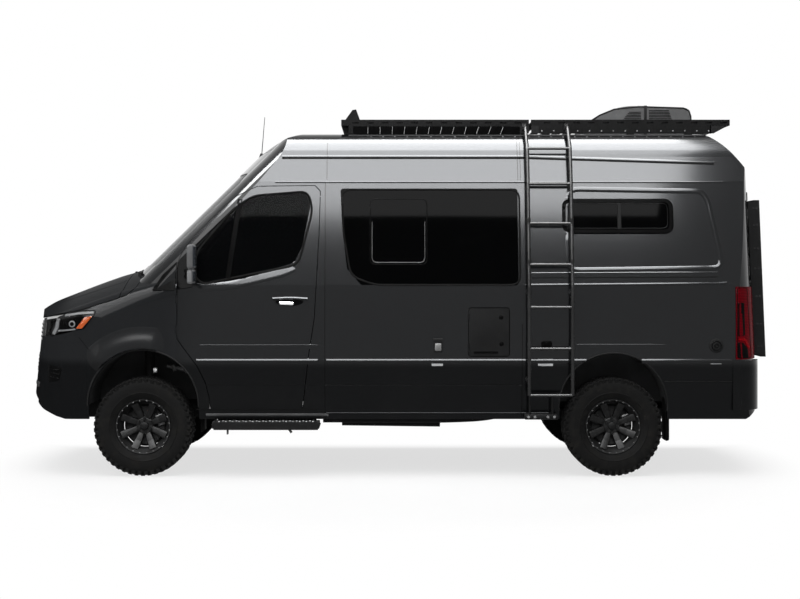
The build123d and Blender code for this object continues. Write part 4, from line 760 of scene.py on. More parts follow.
RIM_PROFILE = (
    (0.19, -0.094), (0.2115, -0.094), (0.2155, -0.089), (0.2065, -0.08), (0.196, -0.062), (0.176, -0.03),
    (0.176, 0.02), (0.186, 0.045), (0.198, 0.06), (0.2065, 0.08), (0.2155, 0.0885), (0.2125, 0.0955),
    (0.205, 0.0945), (0.2, 0.084), (0.193, 0.066), (0.181, 0.046), (0.17, 0.02), (0.17, -0.03),
    (0.19, -0.066), (0.19, -0.094),
)
HUB_PROFILE = ((0.0, 0.03), (0.058, 0.03), (0.07, 0.022), (0.078, 0.01), (0.078, -0.012), (0.0, -0.012))
CAP_PROFILE = ((0.0, 0.052), (0.02, 0.051), (0.029, 0.047), (0.033, 0.038), (0.033, 0.026), (0.0, 0.026))
SPOKES, NUTS, RIM_SCREWS = 8, 6, 24


def spoke(shape, middle, side, turn):
    """One spoke, which widens and comes forward towards the rim."""
    edges = list({e for v in cube(shape) for e in v.link_edges})
    bmesh.ops.subdivide_edges(shape, edges=edges, cuts=1, use_grid_fill=True)
    verts = [v for v in shape.verts if all(abs(c) < 0.51 for c in v.co)]
    for vert in verts:
        reach = vert.co.z + 0.5
        vert.co.x *= 0.04 + 0.018 * reach if vert.co.y > -0.1 else 0.05 + 0.02 * reach
        vert.co.y = side * (vert.co.y * 0.03 + 0.012 + 0.044 * reach * reach)
        vert.co.z = 0.06 + 0.128 * reach
    placed(shape, verts, Matrix.Translation(middle) @ Matrix.Rotation(turn, 4, "Y"))
    soften(shape, verts, 0.0035, 2)


def around(middle, count, radius, out, offset=0.0):
    """Points spaced evenly round the axle."""
    for k in range(count):
        turn = 2 * pi * (k + offset) / count
        yield middle + Vector((radius * sin(turn), out, radius * cos(turn)))


def make_wheel(corner, middle, side):
    body = "wheel_" + corner
    forms = [(turned, RIM_PROFILE, middle, side, 96), (turned, HUB_PROFILE, middle, side, 48)]
    forms += [(spoke, middle, side, 2 * pi * (k + 0.5) / SPOKES) for k in range(SPOKES)]
    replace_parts(built("dressed_wheel_" + corner, wheel_metal, forms, body, WHEEL, 30), body)
    nuts = [(bolt, at, (0, side, 0), 0.0098, 0.017) for at in around(middle, NUTS, 0.0525, side * 0.03)]
    built("hub_cap_" + corner, black_coat, [(turned, CAP_PROFILE, middle, side, 40)] + nuts, body, WHEEL)
    screws = [(bar, at, at + Vector((0, side * 0.0035, 0)), 0.0042, 8)
              for at in around(middle, RIM_SCREWS, 0.2045, side * 0.093, 0.5)]
    built("rim_screws_" + corner, dull_steel, screws, body, WHEEL)


def make_brake(corner, middle, side, body):
    rings = [[(0.075, near), (radius, near), (radius, far), (0.075, far), (0.075, near)]
             for radius, near, far in ((0.15, -0.018, -0.03), (0.168, -0.04, -0.044))]
    built("brake_disc_" + corner, cast_metal, [(turned, ring, middle, side, 72) for ring in rings],
          "wheel_" + corner, "knuckle_metal")
    grip = bmesh.new()
    block(grip, (-0.045, -0.034, 0.098), (0.045, 0.034, 0.158), 0.008)
    placed(grip, grip.verts, Matrix.Translation(middle + Vector((0, side * -0.026, 0)))
           @ Matrix.Rotation(radians(70), 4, "Y"))
    piece("brake_caliper_" + corner, grip, dull_steel, body)


for corner, corner_x, side, carrier in CORNERS:
    centre = Vector((corner_x, side * HALF_TRACK, AXLE_Z))
    make_tyre(corner, centre, side)
    make_wheel(corner, centre, side)
    make_brake(corner, centre, side, carrier)


# ---- body sides
FRONT_ARCH, REAR_ARCH = (FRONT_AXLE, 0.555), (REAR_AXLE, 0.54)
FRONT_LIP_R, REAR_LIP_R = 0.434, 0.424
SILL_LINE_Z = 0.715
RUB_Z, CREASE_Z, BELT_Z, DRIP_Z, ROOF_CREASE_Z = 0.898, 1.014, 1.492, 2.298, 2.502
DOOR_END = -0.612                   # the front door's skin ends here
SIDE_START, SIDE_END = -0.545, 2.6
DOOR_WINDOW = ((-1.566, 1.545), (-1.5, 1.5), (-0.765, 1.65), (-0.655, 2.075), (-0.69, 2.225),
               (-1.13, 2.19), (-1.3, 2.06), (-1.566, 1.74))
BIG_WINDOW = ((-0.43, 2.238), (0.962, 2.238), (0.962, 1.492), (-0.17, 1.492), (-0.355, 1.56), (-0.415, 1.9))
QUARTER = ((1.34, 2.243), (2.39, 2.225), (2.44, 2.15), (2.545, 1.622), (1.34, 1.606))
FRONT_DOOR = "front_door_"          # the side's word is added to it


def swage(v):
    """Cross-section that climbs slowly from one edge and drops sharply at the other."""
    return min((1 - v) / 1.4, 1 - ((0.4 - v) / 1.4) ** 6)


def edge_fold(v):
    """Cross-section with a steep inner edge, for the rear window's recess."""
    return (1 - abs(v)) ** 0.5 if v < 0.2 else (1 - v) ** 1.5 * 1.25


def line(name, path, width, proud, finish=side_paint, body="vehicle", slot=BODY, **form):
    """Ridge, crease or groove on both sides of the body."""
    strip(name, skins, path, width, proud, finish, body, slot, **form)


def trim(name, path, width, proud, finish=gloss_black, body="vehicle", **form):
    """Seal or moulding on both sides of the body."""
    line(name, path, width, proud, finish, body, TRIM, **form)


line("arch_bulge", arc(FRONT_ARCH, 0.53, 148, 66, 36), 0.19, 0.027, flare_paint, profile=shoulder, across=16, fade=6)
trim("arch_lip_front", arc(FRONT_ARCH, FRONT_LIP_R, 181, -2, 44), 0.014, 0.005, black_plastic)
trim("arch_lip_rear", arc(REAR_ARCH, REAR_LIP_R, 184, -4, 44), 0.014, 0.004, black_plastic)
line("rub_ridge_door", [(-1.555, RUB_Z), (DOOR_END, RUB_Z)], 0.046, 0.006, paint, FRONT_DOOR, profile=swell)
line("rub_ridge_middle", [(SIDE_START, RUB_Z), (1.475, RUB_Z)], 0.046, 0.006, profile=swell)
line("rub_ridge_tail", [(1.905, RUB_Z), (SIDE_END, RUB_Z)], 0.046, 0.006, profile=swell)
line("crease_door", [(-1.527, CREASE_Z), (DOOR_END, CREASE_Z)], 0.04, 0.0004, paint, FRONT_DOOR, profile=swell)
line("sill_line_door", [(-1.49, SILL_LINE_Z), (DOOR_END, SILL_LINE_Z)], 0.006, 0.001, seal_rubber_and_shade, FRONT_DOOR)
line("crease_tail", [(1.4, CREASE_Z), (2.087, CREASE_Z)], 0.05, 0.001, profile=swell)
line("belt_ridge", [(1, BELT_Z), (2.5, BELT_Z + 0.012), (2.568, BELT_Z + 0.016)], 0.022, 0.006)
# Painted shade: a dark line where the lower waist groove lies.
line("waist_groove_low", [(1.05, 1.547), (2.5, 1.555)], 0.008, 0.0015, seal_rubber_and_shade)
line("waist_groove_high", [(1.05, 1.585), (2.5, 1.592)], 0.014, 0.004, profile=swell)
line("sill_ridge", [(SIDE_START, 0.492), (1.2, 0.492)], 0.016, 0.005)
# Pale strip under each front door, a painted highlight.
trim("sill_strip", [(-1.485, 0.48), (-0.53, 0.48)], 0.024, 0.006, sill_highlight_plastic)
line("sill_line", [(-0.54, SILL_LINE_Z), (0.95, SILL_LINE_Z)], 0.006, 0.0012, seal_rubber_and_shade)
line("sill_line_tail", [(2.115, 0.738), (2.6, 0.738)], 0.006, 0.0012, seal_rubber_and_shade)
line("drip_rail", [(-0.95, DRIP_Z), (2.56, DRIP_Z)], 0.02, 0.005)
for name, z, width, proud, finish, profile in (
    ("roof_crease", ROOF_CREASE_Z, 0.03, 0.004, roof_paint, swell),
    ("roof_crease_shade", ROOF_CREASE_Z - 0.016, 0.01, 0.0014, seal_rubber_and_shade, crown),
):
    line(name, [(-0.9, z), (1, z), (2.5, z - 0.048)], width, proud, finish, profile=profile)
line("door_swage", [(-1.66, 1.462), (-1.3, 1.485), (-0.86, 1.59), (-0.715, 1.68)], 0.075, 0.0026, paint, FRONT_DOOR,
     profile=swage, across=14, fade=4, bend=0.1)
trim("door_seal", DOOR_WINDOW, 0.02, 0.0045, seal_rubber_and_shade, FRONT_DOOR, closed=True, bend=0.07)
trim("door_pillar", [(-1.225, 2.165), (-1.312, 1.545)], 0.046, 0.005, body=FRONT_DOOR, profile=flat)
trim("window_seal", BIG_WINDOW, 0.018, 0.004, seal_rubber_and_shade, closed=True, bend=0.075)
line("quarter_edge", QUARTER, 0.05, 0.0045, closed=True, bend=0.09, profile=edge_fold)
trim("pane_frame", pad(1.31, 2.152, 2.145, 1.912, 0.055), 0.034, 0.008, closed=True, profile=flat)
trim("pane_rim", pad(1.335, 2.13, 2.12, 1.935, 0.045), 0.005, 0.01, black_coat, closed=True)
trim("pane_divider", [(1.743, 2.135), (1.743, 1.93)], 0.032, 0.0085, black_plastic, profile=flat)
trim("slider_rim", pad(-0.205, 2.165, 0.238, 1.652, 0.045), 0.008, 0.003, closed=True)
trim("slider_glint", [(-0.19, 1.985), (-0.19, 1.668), (0.222, 1.668), (0.222, 1.985)], 0.003, 0.003,
     dull_steel, bend=0.04)

# Door handles, and the mirrors with their feet.
angles = [2 * pi * k / 36 for k in range(36)]
HANDLE_BOWL = [(-0.832 + 0.108 * cos(a), 1.362 + 0.034 * sin(a)) for a in angles]
HANDLE_KEY = rounded([(-0.912, 1.364), (-0.798, 1.36), (-0.8, 1.336), (-0.908, 1.34)], 0.012)
MIRROR_CORNER = rounded([(-1.905, 1.447), (-1.716, 1.447), (-1.716, 1.68), (-1.84, 1.568)], 0.018)
MIRROR_FOOT = rounded([(-1.704, 1.455), (-1.585, 1.475), (-1.588, 1.76), (-1.64, 1.75), (-1.704, 1.69)], 0.015)
plates("handle_bowl", skins, gloss_black, (HANDLE_BOWL, 0.0025), body=FRONT_DOOR)
line("handle_grip", [(-0.962, 1.386), (-0.82, 1.393), (-0.69, 1.384)], 0.026, 0.02, nose_paint, FRONT_DOOR,
     across=10, bend=0.1)
plates("handle_insert", skins, bright_metal, (HANDLE_KEY, 0.011), body=FRONT_DOOR)
plates("corner_trim", skins, gloss_black, (MIRROR_CORNER, 0.008))
for side, word in SIDES:
    arms = [(bar, skins[side].spot(-1.64, z, -0.01), (-1.6, side * 1.115, z - 0.008), 0.019, 20, 0.015)
            for z in (1.56, 1.6)]
    built("mirror_foot_" + word, gloss_black, [(plate, skins[side], MIRROR_FOOT, 0.006)] + arms, FRONT_DOOR + word)
mirror_shells = pair("mirror_shell", mirror_shell, (
    (block, (-1.597, 1.032, 1.622), (-1.55, 1.248, 1.804), 0.019, 4),
    (block, (-1.597, 1.046, 1.506), (-1.553, 1.24, 1.614), 0.017, 4),
    (block, (-1.592, 1.1, 1.59), (-1.562, 1.205, 1.64), 0.006)), FRONT_DOOR)
for shell, (side, word) in zip(mirror_shells, SIDES):
    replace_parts(shell, "mirror_" + word)
pair("mirror_glass", mirror_glass, (
    (block, (-1.552, 1.044, 1.636), (-1.5485, 1.236, 1.79), 0.001),
    (block, (-1.555, 1.058, 1.52), (-1.5515, 1.228, 1.6), 0.001)), FRONT_DOOR)
pair("mirror_lamp", lamp_white, [(block, (-1.592, 1.2385, 1.52), (-1.56, 1.242, 1.604), 0.0015)], FRONT_DOOR)

# ---- nose
LAMP_EDGE = rounded(((-2.655, 1.24), (-2.55, 1.274), (-2.44, 1.29), (-2.345, 1.292), (-2.358, 1.255),
                     (-2.44, 1.15), (-2.64, 1.12), (-2.715, 1.085), (-2.705, 1.15)), 0.014)
LAMP_POCKET = rounded(((-2.632, 1.222), (-2.44, 1.255), (-2.5, 1.15), (-2.632, 1.14)), 0.012)
LAMP_AMBER = rounded(((-2.5, 1.152), (-2.452, 1.152), (-2.366, 1.25), (-2.432, 1.238)), 0.006)
FOG_EDGE = rounded(((-2.735, 0.868), (-2.615, 0.845), (-2.635, 0.745), (-2.735, 0.722)), 0.02)
INTAKE = rounded([(-0.46, 0.93), (0.46, 0.93), (0.5, 0.79), (-0.5, 0.79)], 0.03)
PROJECTOR = (-2.532, 1.187)


def slats(skin, count, level, pitch, ends, slope, width, proud):
    """Forms of level bars, one above or below another, on a face."""
    levels = [level + pitch * k for k in range(count)]
    return [(draped, skin, fine([(ends[0], z), (ends[1], z + slope)]), width, proud, crown, 6) for z in levels]


trim("lamp_rim", LAMP_EDGE, 0.008, 0.006, closed=True)
for name, path, width in (
    ("lamp_brow", [(-2.6, 1.252), (-2.48, 1.27), (-2.36, 1.278)], 0.02),
    ("lamp_column", [(-2.652, 1.226), (-2.66, 1.16), (-2.69, 1.106)], 0.034),
    ("lamp_foot", [(-2.65, 1.132), (-2.56, 1.14), (-2.505, 1.146)], 0.014),
):
    trim(name, path, width, 0.007, lamp_white, profile=flat)
for name, finish, *row in (
    ("lamp_housing", lamp_shade, LAMP_EDGE, 0.003), ("lamp_pocket", gloss_black, LAMP_POCKET, 0.006),
    ("lamp_amber", amber_lens, LAMP_AMBER, 0.009), ("lamp_iris", gloss_black, disc(PROJECTOR, 0.017), 0.013),
    ("lamp_projector", lamp_white, disc(PROJECTOR, 0.026), 0.011, 0.005),
):
    plates(name, skins, finish, row)
pair("fog_recess", gloss_black, [(plate, skins, FOG_EDGE, 0.003)]
     + slats(skins, 3, 0.835, -0.032, (-2.722, -2.638), -0.012, 0.012, 0.009))
trim("cheek_line", [(-2.478, 1.085), (-2.395, 0.985), (-2.33, 0.935)], 0.006, 0.0012, seal_rubber_and_shade)
for side, word in SIDES:
    strip("hood_crease_" + word, top_skin, [(-2.78, side * 0.4), (-2.45, side * 0.49), (-2.19, side * 0.55)],
          0.06, 0.003, nose_paint, "hood", BODY, profile=swell)
built("grille_slats", black_plastic, slats(nose_skin, 4, 1.066, 0.033, (-0.53, 0.53), 0, 0.016, 0.004))
plates("grille_disc", nose_skin, gloss_black, (disc((0, 1.115), 0.072), 0.007, 0.003, 0.02))
built("bumper_intake", black_plastic, [(plate, nose_skin, INTAKE, 0.003)]
      + slats(nose_skin, 4, 0.815, 0.031, (-0.46, 0.46), 0, 0.012, 0.005))
strip("bumper_lip", nose_skin, [(-0.72, 0.69), (0.72, 0.69)], 0.05, 0.006, black_plastic, profile=swell)
plates("front_plate_blank", nose_skin, black_plastic, (pad(-0.15, 1.01, 0.15, 0.945, 0.01), 0.008))


def above(spot, rise, back=0.0):
    """Point a little above and behind another."""
    return spot + Vector((back, 0, rise))


for number, pivot, tip, heel in ((1, -0.52, 0.1, -0.5), (2, 0.12, 0.66, 0.16)):
    foot = top_skin.spot(-2.105 + abs(pivot) * 0.06, pivot, 0.004)
    far, near = (top_skin.spot(-2.132 + abs(y) * 0.1, y, 0.012) for y in (tip, heel))
    middle = (far + near) / 2
    built("wiper_%d" % number, black_plastic, (
        (bar, above(foot, -0.02), above(foot, 0.022), 0.018, 20),
        (bar, above(foot, 0.012), above(middle, 0.01), 0.009, 10, 0.006), (bar, near, far, 0.008, 8),
        (block, middle - Vector((0.008, 0.045, 0.006)), middle + Vector((0.008, 0.045, 0.012)), 0.003)))
base = top_skin.spot(-1.112, -0.3, 0.0)
built("roof_aerial", black_plastic, (
    (bar, above(base, -0.01), above(base, 0.03, 0.004), 0.022, 20, 0.012),
    (bar, above(base, 0.02, 0.003), above(base, 0.33, 0.028), 0.0035, 8, 0.0022)))

# ---- wheel arches, steps and underside
pair("splash_shields", chassis_coat, [
    (block, (low, 0.438, 0.405), (high, 0.43, 0.64), 0.002)
    for low, high in ((aft(-620), aft(520)), (REAR_AXLE - 0.52, REAR_AXLE + 0.55))])
pair("strut_top", dull_steel, (
    (bar, (FRONT_AXLE, 0.6, 0.8), (FRONT_AXLE, 0.62, 0.985), 0.03, 24),
    (bar, (FRONT_AXLE, 0.6, 0.795), (FRONT_AXLE, 0.602, 0.815), 0.042, 24)))
pair("brake_block", steel, (
    (block, (-1.95, 0.665, 0.783), (-1.917, 0.63, 0.822), 0.005), (bolt, (-1.933, 0.665, 0.803), (0, 1, 0), 0.008)))
pair("arch_line", dull_steel, [
    (bar, (low, 0.64, top), (high, 0.64, foot), radius, 14) for low, high, top, foot, radius in (
        (-1.838, -1.62, 0.838, 0.79, 0.016), (-1.79, -1.77, 0.846, 0.8, 0.02), (-1.69, -1.672, 0.822, 0.785, 0.02))])
pair("flap_bolts", dull_steel, [(bolt, (back, inboard, 0.575), (1, 0, 0), 0.006, 0.004)
                                for back in (-1.5295, 2.1235) for inboard in (0.79, 0.83, 0.87)])
pair("flap_backing", flap_rubber, (
    (block, (-1.536, 0.77, 0.345), (-1.505, 0.9, 0.61), 0.01),
    (block, (2.104, 0.77, 0.268), (2.142, 0.9, 0.64), 0.012)), slot="flap_rubber")

pair("step_backing", chassis_coat, [(block, (aft(575), 0.905, 0.424), (aft(1350), 0.912, 0.462), 0.001)],
     slot=EQUIPMENT)
studs = [Vector((aft(600) + 0.052 * k + 0.026 * (row % 2), inboard, 0.4315))
         for row, inboard in enumerate((0.935, 0.975, 1.015)) for k in range(15)]
grips = [(aft(640) + 0.04 * k, 0.018 - 0.01 * (k % 2)) for k in range(17)]
pair("step_studs", dull_steel,
     [(bar, stud, above(stud, 0.005), 0.009, 12, 0.006) for stud in studs if stud.x < aft(1340)]
     + [(block, (x, 1.0535, 0.412), (x + length, 1.0585, 0.42), 0.001) for x, length in grips], slot=EQUIPMENT)
pair("step_stays", dull_steel, (
    (block, (-1.317, 0.985, 0.334), (-1.305, 1.03, 0.385), 0.002),
    (bar, (-0.845, 1.005, 0.388), (-0.815, 1.005, 0.345), 0.01, 12)), slot=EQUIPMENT)
step_ends = []
for end, way in ((aft(560), -1), (aft(1366), 1)):
    step_ends.append((block, (end - 0.012, 0.905, 0.38), (end + 0.012, 1.056, 0.434), 0.006))
    step_ends += [(bolt, (end + way * 0.012, inboard, 0.407), (way, 0, 0)) for inboard in (0.935, 1.02)]
pair("step_ends", black_plastic, step_ends, slot=EQUIPMENT)

pipe("exhaust_pipe", [(-1.4, 0.3, 0.5), (-0.9, 0.3, 0.44), (-0.4, -0.42, 0.385), (0.3, -0.42, 0.375),
                      (0.9, -0.4, 0.4), (1.2, -0.3, 0.6), (2, -0.34, 0.62), (2.55, -0.62, 0.56)],
     0.027, chassis_coat)
built("silencer", chassis_coat, [(bar, (-0.44, -0.42, 0.385), (0.36, -0.42, 0.375), 0.052, 32)])
built("door_sill_seals", seal_rubber_and_shade, [
    (block, (-1.56, side * 0.93, 0.5196), (-0.62, side * 0.975, 0.5236), 0.001) for side in (LEFT, RIGHT)])

# ---- fittings on the side walls
HATCH_LOCKS = [(disc((x, z), radius), proud) for x, z in ((0.812, 1.24), (0.816, 1.034))
               for radius, proud in ((0.017, 0.004), (0.008, 0.007))]
plates("hatch_latches", left, gloss_black, *HATCH_LOCKS, (pad(0.602, 0.976, 0.789, 0.96, 0.004), 0.006),
       body="service_hatch")
strip("hatch_seal", left, pad(0.5565, 1.313, 0.8755, 0.94, 0.02), 0.005, 0.0008, seal_rubber_and_shade, "service_hatch",
      closed=True)
plates("power_inlet", left, black_plastic, (pad(0.281, 1.08, 0.361, 1.057, 0.006), 0.02),
       (pad(0.29, 1.048, 0.356, 0.97, 0.012), 0.012))
plates("power_inlet_lid", left, dull_steel, (pad(0.298, 1.04, 0.348, 0.98, 0.01), 0.016))
TAIL_LABEL = rounded([(2.436, 0.915), (2.529, 0.915), (2.526, 0.878), (2.44, 0.878)], 0.005)
plates("blank_labels", left, white_plastic, (pad(0.274, 0.917, 0.361, 0.863, 0.006), 0.0014, 0.0005),
       (pad(1.1, 0.917, 1.216, 0.863, 0.006), 0.0014, 0.0005), (TAIL_LABEL, 0.0014, 0.0005))
plates("water_filler", left, gloss_black, (pad(1.123, 1.06, 1.208, 1.003, 0.026), 0.01, 0.004),
       (disc((1.165, 1.031), 0.018), 0.015))
VENT = (2.483, 1.021)
plates("heater_vent", left, black_plastic, (disc(VENT, 0.055), 0.008, 0.004))
strip("heater_vent_ring", left, disc(VENT, 0.036), 0.01, 0.013, gloss_black, closed=True)
strip("heater_vent_core", left, disc(VENT, 0.014, 16), 0.012, 0.011, gloss_black, closed=True)

strip("slide_rail", right, [(0.83, 1.205), (2.35, 1.215)], 0.04, 0.01, black_plastic, profile=flat)
plates("slide_handle_bowl", right, gloss_black, (pad(-0.47, 1.4, -0.4, 1.18, 0.03), 0.003))
strip("slide_handle_grip", right, [(-0.435, 1.375), (-0.435, 1.205)], 0.026, 0.028, paint, slot=BODY)
strip("slide_door_crease", right, [(-0.5, 1.014), (0.78, 1.014)], 0.04, 0.002, paint, slot=BODY, profile=swell)
plates("fuel_filler_lid", right, paint, (pad(1.02, 1.185, 1.17, 1.035, 0.02), 0.002), slot=BODY)

# ---- tail lamps and rear doors
SMOKE_UPPER = rounded([(2.65, 1.355), (2.704, 1.355), (2.712, 1.1), (2.65, 1.095)], 0.008)
SMOKE_LOWER = rounded([(2.648, 1.05), (2.69, 1.045), (2.735, 1), (2.745, 0.925), (2.648, 0.925)], 0.012)
plates("tail_lamp_smoke", skins, gloss_black, (SMOKE_UPPER, 0.004), (SMOKE_LOWER, 0.004))
trim("tail_lamp_bar", [(2.655, 1.074), (2.715, 1.068), (2.748, 1)], 0.026, 0.005, bright_red, profile=flat,
     bend=0.03)
trim("tail_lamp_edge", [(2.645, 1.47), (2.735, 1.47), (2.775, 0.925), (2.645, 0.925)], 0.006, 0.004, closed=True,
     bend=0.02)
for side, word in SIDES:
    door = "rear_door_" + word
    strip("rear_glass_seal_" + word, tail_skin, pad(side * 0.098, 2.152, side * 0.68, 1.53, 0.05), 0.022, 0.005,
          seal_rubber_and_shade, door, closed=True)
    for name, z in (("rear_swage_", 1.36), ("rear_swage_low_", 0.94)):
        strip(name + word, tail_skin, [(side * 0.06, z), (side * 0.74, z)], 0.05, 0.004, paint, door, BODY,
              profile=swell)
    hinges = [(pad(side * 0.7, z + 0.035, side * 0.782, z - 0.035, 0.012), 0.012) for z in (0.86, 1.42, 2.19)]
    plates("rear_hinges_" + word, tail_skin, black_plastic, *hinges, body=door)
plates("rear_handle_bowl", tail_skin, gloss_black, (pad(0.04, 1.235, 0.22, 1.165, 0.025), 0.004),
       body="rear_door_right")
strip("rear_handle_grip", tail_skin, [(0.06, 1.21), (0.2, 1.21)], 0.026, 0.026, paint, "rear_door_right", BODY)
plates("rear_plate_blank", tail_skin, white_plastic, (pad(0.13, 0.89, 0.63, 0.775, 0.012), 0.013),
       body="rear_door_right")
plates("third_lamp", tail_skin, red_lens, (pad(-0.16, 2.335, 0.16, 2.3, 0.012), 0.01))
strip("rear_step_pad", tail_skin, [(-0.55, 0.7), (0.55, 0.7)], 0.03, 0.004, black_plastic, profile=flat)


def lean(z):
    """How far the carrier stands forward of its foot at a height."""
    return (z - 0.93) * 0.0393


SIDE_PLATE = ((2.85, 0.935), (2.932, 0.935), (2.932 - lean(2.15), 2.15), (2.795, 2.15))
built("carrier_side_plate", black_coat, [(prism, SIDE_PLATE, -0.744, -0.736)], "rear_door_left", EQUIPMENT)
built("carrier_bolts", cast_metal, [(bolt, (x - lean(z), -0.7435, z), (0, -1, 0), 0.006, 0.004)
                                    for z in (1, 1.18, 1.4, 1.62, 1.78, 1.965, 2.1)
                                    for x in (2.885, 2.912)], "rear_door_left", EQUIPMENT)

# ---- roof racks, air conditioner and ladder
RACK_START, GAP_START, GAP_END = aft(1535), aft(3040), aft(3058)
RACK_PITCH = 0.0955
RACK_END_PLATE = ((2.515, 2.702), (2.545, 2.702), (2.668, 2.768), (2.515, 2.768))
for side, word in SIDES:
    inner, outer = side * 0.653, side * 0.66
    built("rack_side_" + word, black_coat, (
        (block, (GAP_START - 0.155, inner, 2.702), (GAP_START, outer, 2.768)),
        (block, (GAP_END, inner, 2.702), (GAP_END + 0.065, outer, 2.768)),
        (prism, RACK_END_PLATE, inner, outer)), slot=EQUIPMENT)
    spots = [skins[side].spot(-0.2 + RACK_PITCH * k, 2.668, 0.0) for k in range(29)]
    out = Vector((0, side * 0.004, 0))
    built("gutter_bolts_" + word, dull_steel, [(bar, spot - out, spot + out, 0.0042, 8) for spot in spots],
          slot=EQUIPMENT)
line("rack_gutter", [(-0.38, 2.683), (2.46, 2.683)], 0.016, 0.005, black_plastic, slot=EQUIPMENT)
bolt_rows = [-0.36 + RACK_PITCH * k for k in range(34)]
pair("rack_bolts", dull_steel, [(bolt, (x, 0.66, 2.722), (0, 1, 0), 0.0042, 0.003)
                                for x in bolt_rows if GAP_END + 0.02 < x < 2.52], slot=EQUIPMENT)
pair("rack_shade", gloss_black, [(block, (-0.345, 0.659, 2.686), (GAP_START - 0.07, 0.6615, 2.758))], slot=EQUIPMENT)
feet = [Vector((-0.226 + 0.0965 * k, 0.6618, 2.696)) for k in range(12)]
pair("rack_ribs", dull_steel, [(bar, foot, above(foot, 0.058, 0.0022 * k), 0.0022, 8)
                               for k, foot in enumerate(feet)], slot=EQUIPMENT)
slot_rows = [RACK_START + 0.09 + 0.118 * k for k in range(26)]
pair("rack_slots", gloss_black, [
    (block, (x, 0.6585, 2.783), (x + 0.052, 0.6612, 2.795), 0.001) for x in slot_rows
    if x < 2.6 and not GAP_START - 0.06 < x < GAP_END + 0.02], slot=EQUIPMENT)

louvres = []
for side in (LEFT, RIGHT):
    for k in range(7):
        z = 2.84 + 0.0125 * k
        louvres.append((block, (2.085, side * 0.347, z), (2.275 - 0.004 * k, side * 0.3535, z + 0.006), 0.001))
        if k < 6:
            louvres.append((block, (1.87 + 0.01 * k, side * 0.347, z), (2.02, side * 0.3535, z + 0.006), 0.001))
built("cooler_louvres", gloss_black, louvres, slot=EQUIPMENT)
built("cooler_band", black_plastic, [
    (block, (2.044, side * 0.3485, 2.725), (2.068, side * 0.3545, 2.958), 0.002) for side in (LEFT, RIGHT)]
    + [(block, (2.044, -0.3545, 2.9525), (2.068, 0.3545, 2.96), 0.002)], slot=EQUIPMENT)
COOLER_EDGE = ((1.572, 2.811), (1.68, 2.88), (1.8, 2.929), (2, 2.951), (2.37, 2.939), (2.414, 2.919),
               (2.43, 2.871), (2.438, 2.726))
built("cooler_edges", black_plastic, [
    (bar, (x, side * 0.3475, z), (next_x, side * 0.3475, next_z), 0.007, 12)
    for side in (LEFT, RIGHT) for (x, z), (next_x, next_z) in zip(COOLER_EDGE, COOLER_EDGE[1:])], slot=EQUIPMENT)

stays = []
for x in (aft(3000), aft(3335)):
    for z, rail_y in ((0.76, -1.072), (1.44, -1.072), (2.25, -0.98)):
        wall_y = left.spot(x, z, 0.0).y
        stays.append((bar, (x, wall_y + 0.004, z), (x, rail_y, z), 0.009, 16))
        stays.append((bar, (x, wall_y + 0.002, z), (x, wall_y - 0.006, z), 0.022, 24))
    for z, rail_y, rake in ((1.02, -1.072, 0), (1.34, -1.072, 0), (1.67, -1.049, 0.004), (1.99, -1.012, 0.004)):
        stays.append((bar, (x, rail_y, z - 0.02), (x, rail_y - rake, z + 0.02), 0.0165, 16))
built("ladder_stays", ladder_coat, stays, slot=EQUIPMENT)
built("ladder_bracket", black_coat, [(block, (0.992, -1.062, 0.452), (1.246, -0.985, 0.494), 0.006)]
      + [(bar, (x, -1.05, 0.48), (x, -1.072, 0.64), 0.009, 12) for x in (1.03, 1.205)], slot=EQUIPMENT)
built("ladder_bracket_bolts", dull_steel, [(bolt, (x, -1.062, 0.473), (0, -1, 0), 0.008, 0.006)
                                           for x in (1.02, 1.07, 1.17, 1.22)], slot=EQUIPMENT)


# ---- seats, mattress and cab
CUSHION_CUTS = 27
SEAM_PINCH, BUTTON_PINCH, SLACK, SIDE_BULGE = 0.45, 0.9, 0.35, 0.35     # parts of the crown's height
SEAM_REACH, BUTTON_REACH = 0.09, 0.02
PIPING_RADIUS, PIPING_HEIGHT = 0.0045, 0.36


def cushion(shape, size, radius, rise_top, channels, stand, dimples=()):
    """Stuffed block with a crowned top, pinched seams across it and slack, uneven sides."""
    half = Vector(size) / 2
    edges = list({e for v in bmesh.ops.create_cube(shape, size=2)["verts"] for e in v.link_edges})
    bmesh.ops.subdivide_edges(shape, edges=edges, cuts=CUSHION_CUTS, use_grid_fill=True)
    for vert in shape.verts:
        p = vert.co.copy()
        spot = Vector(p[i] * half[i] for i in range(3))
        core = Vector(max(radius - half[i], min(half[i] - radius, spot[i])) for i in range(3))
        away = spot - core
        place = core + away.normalized() * radius if away.length > 0 else spot
        rise = rise_top * (1 - p.x ** 4) * (1 - p.y ** 4)
        for channel in channels:
            rise -= SEAM_PINCH * rise_top * max(0.0, 1 - ((p.y - channel) / SEAM_REACH) ** 2)
        for u, v in dimples:
            rise -= BUTTON_PINCH * rise_top * max(0.0, 1 - ((p.x - u) ** 2 + (p.y - v) ** 2) / BUTTON_REACH)
        slack = noise.noise(Vector((p.x * 3.1, p.y * 2.7, p.z * 2.3)) + stand.translation) * rise_top * SLACK
        if abs(p.z) > RIM:
            place.z += (rise + slack) * (1 if p.z > 0 else 0.3)
        else:
            axis = 0 if abs(p.x) > abs(p.y) else 1
            place[axis] += (rise_top * SIDE_BULGE * (1 - p.z ** 2) + slack * 0.5) * (1 if p[axis] > 0 else -1)
        vert.co = place
    placed(shape, shape.verts, stand)


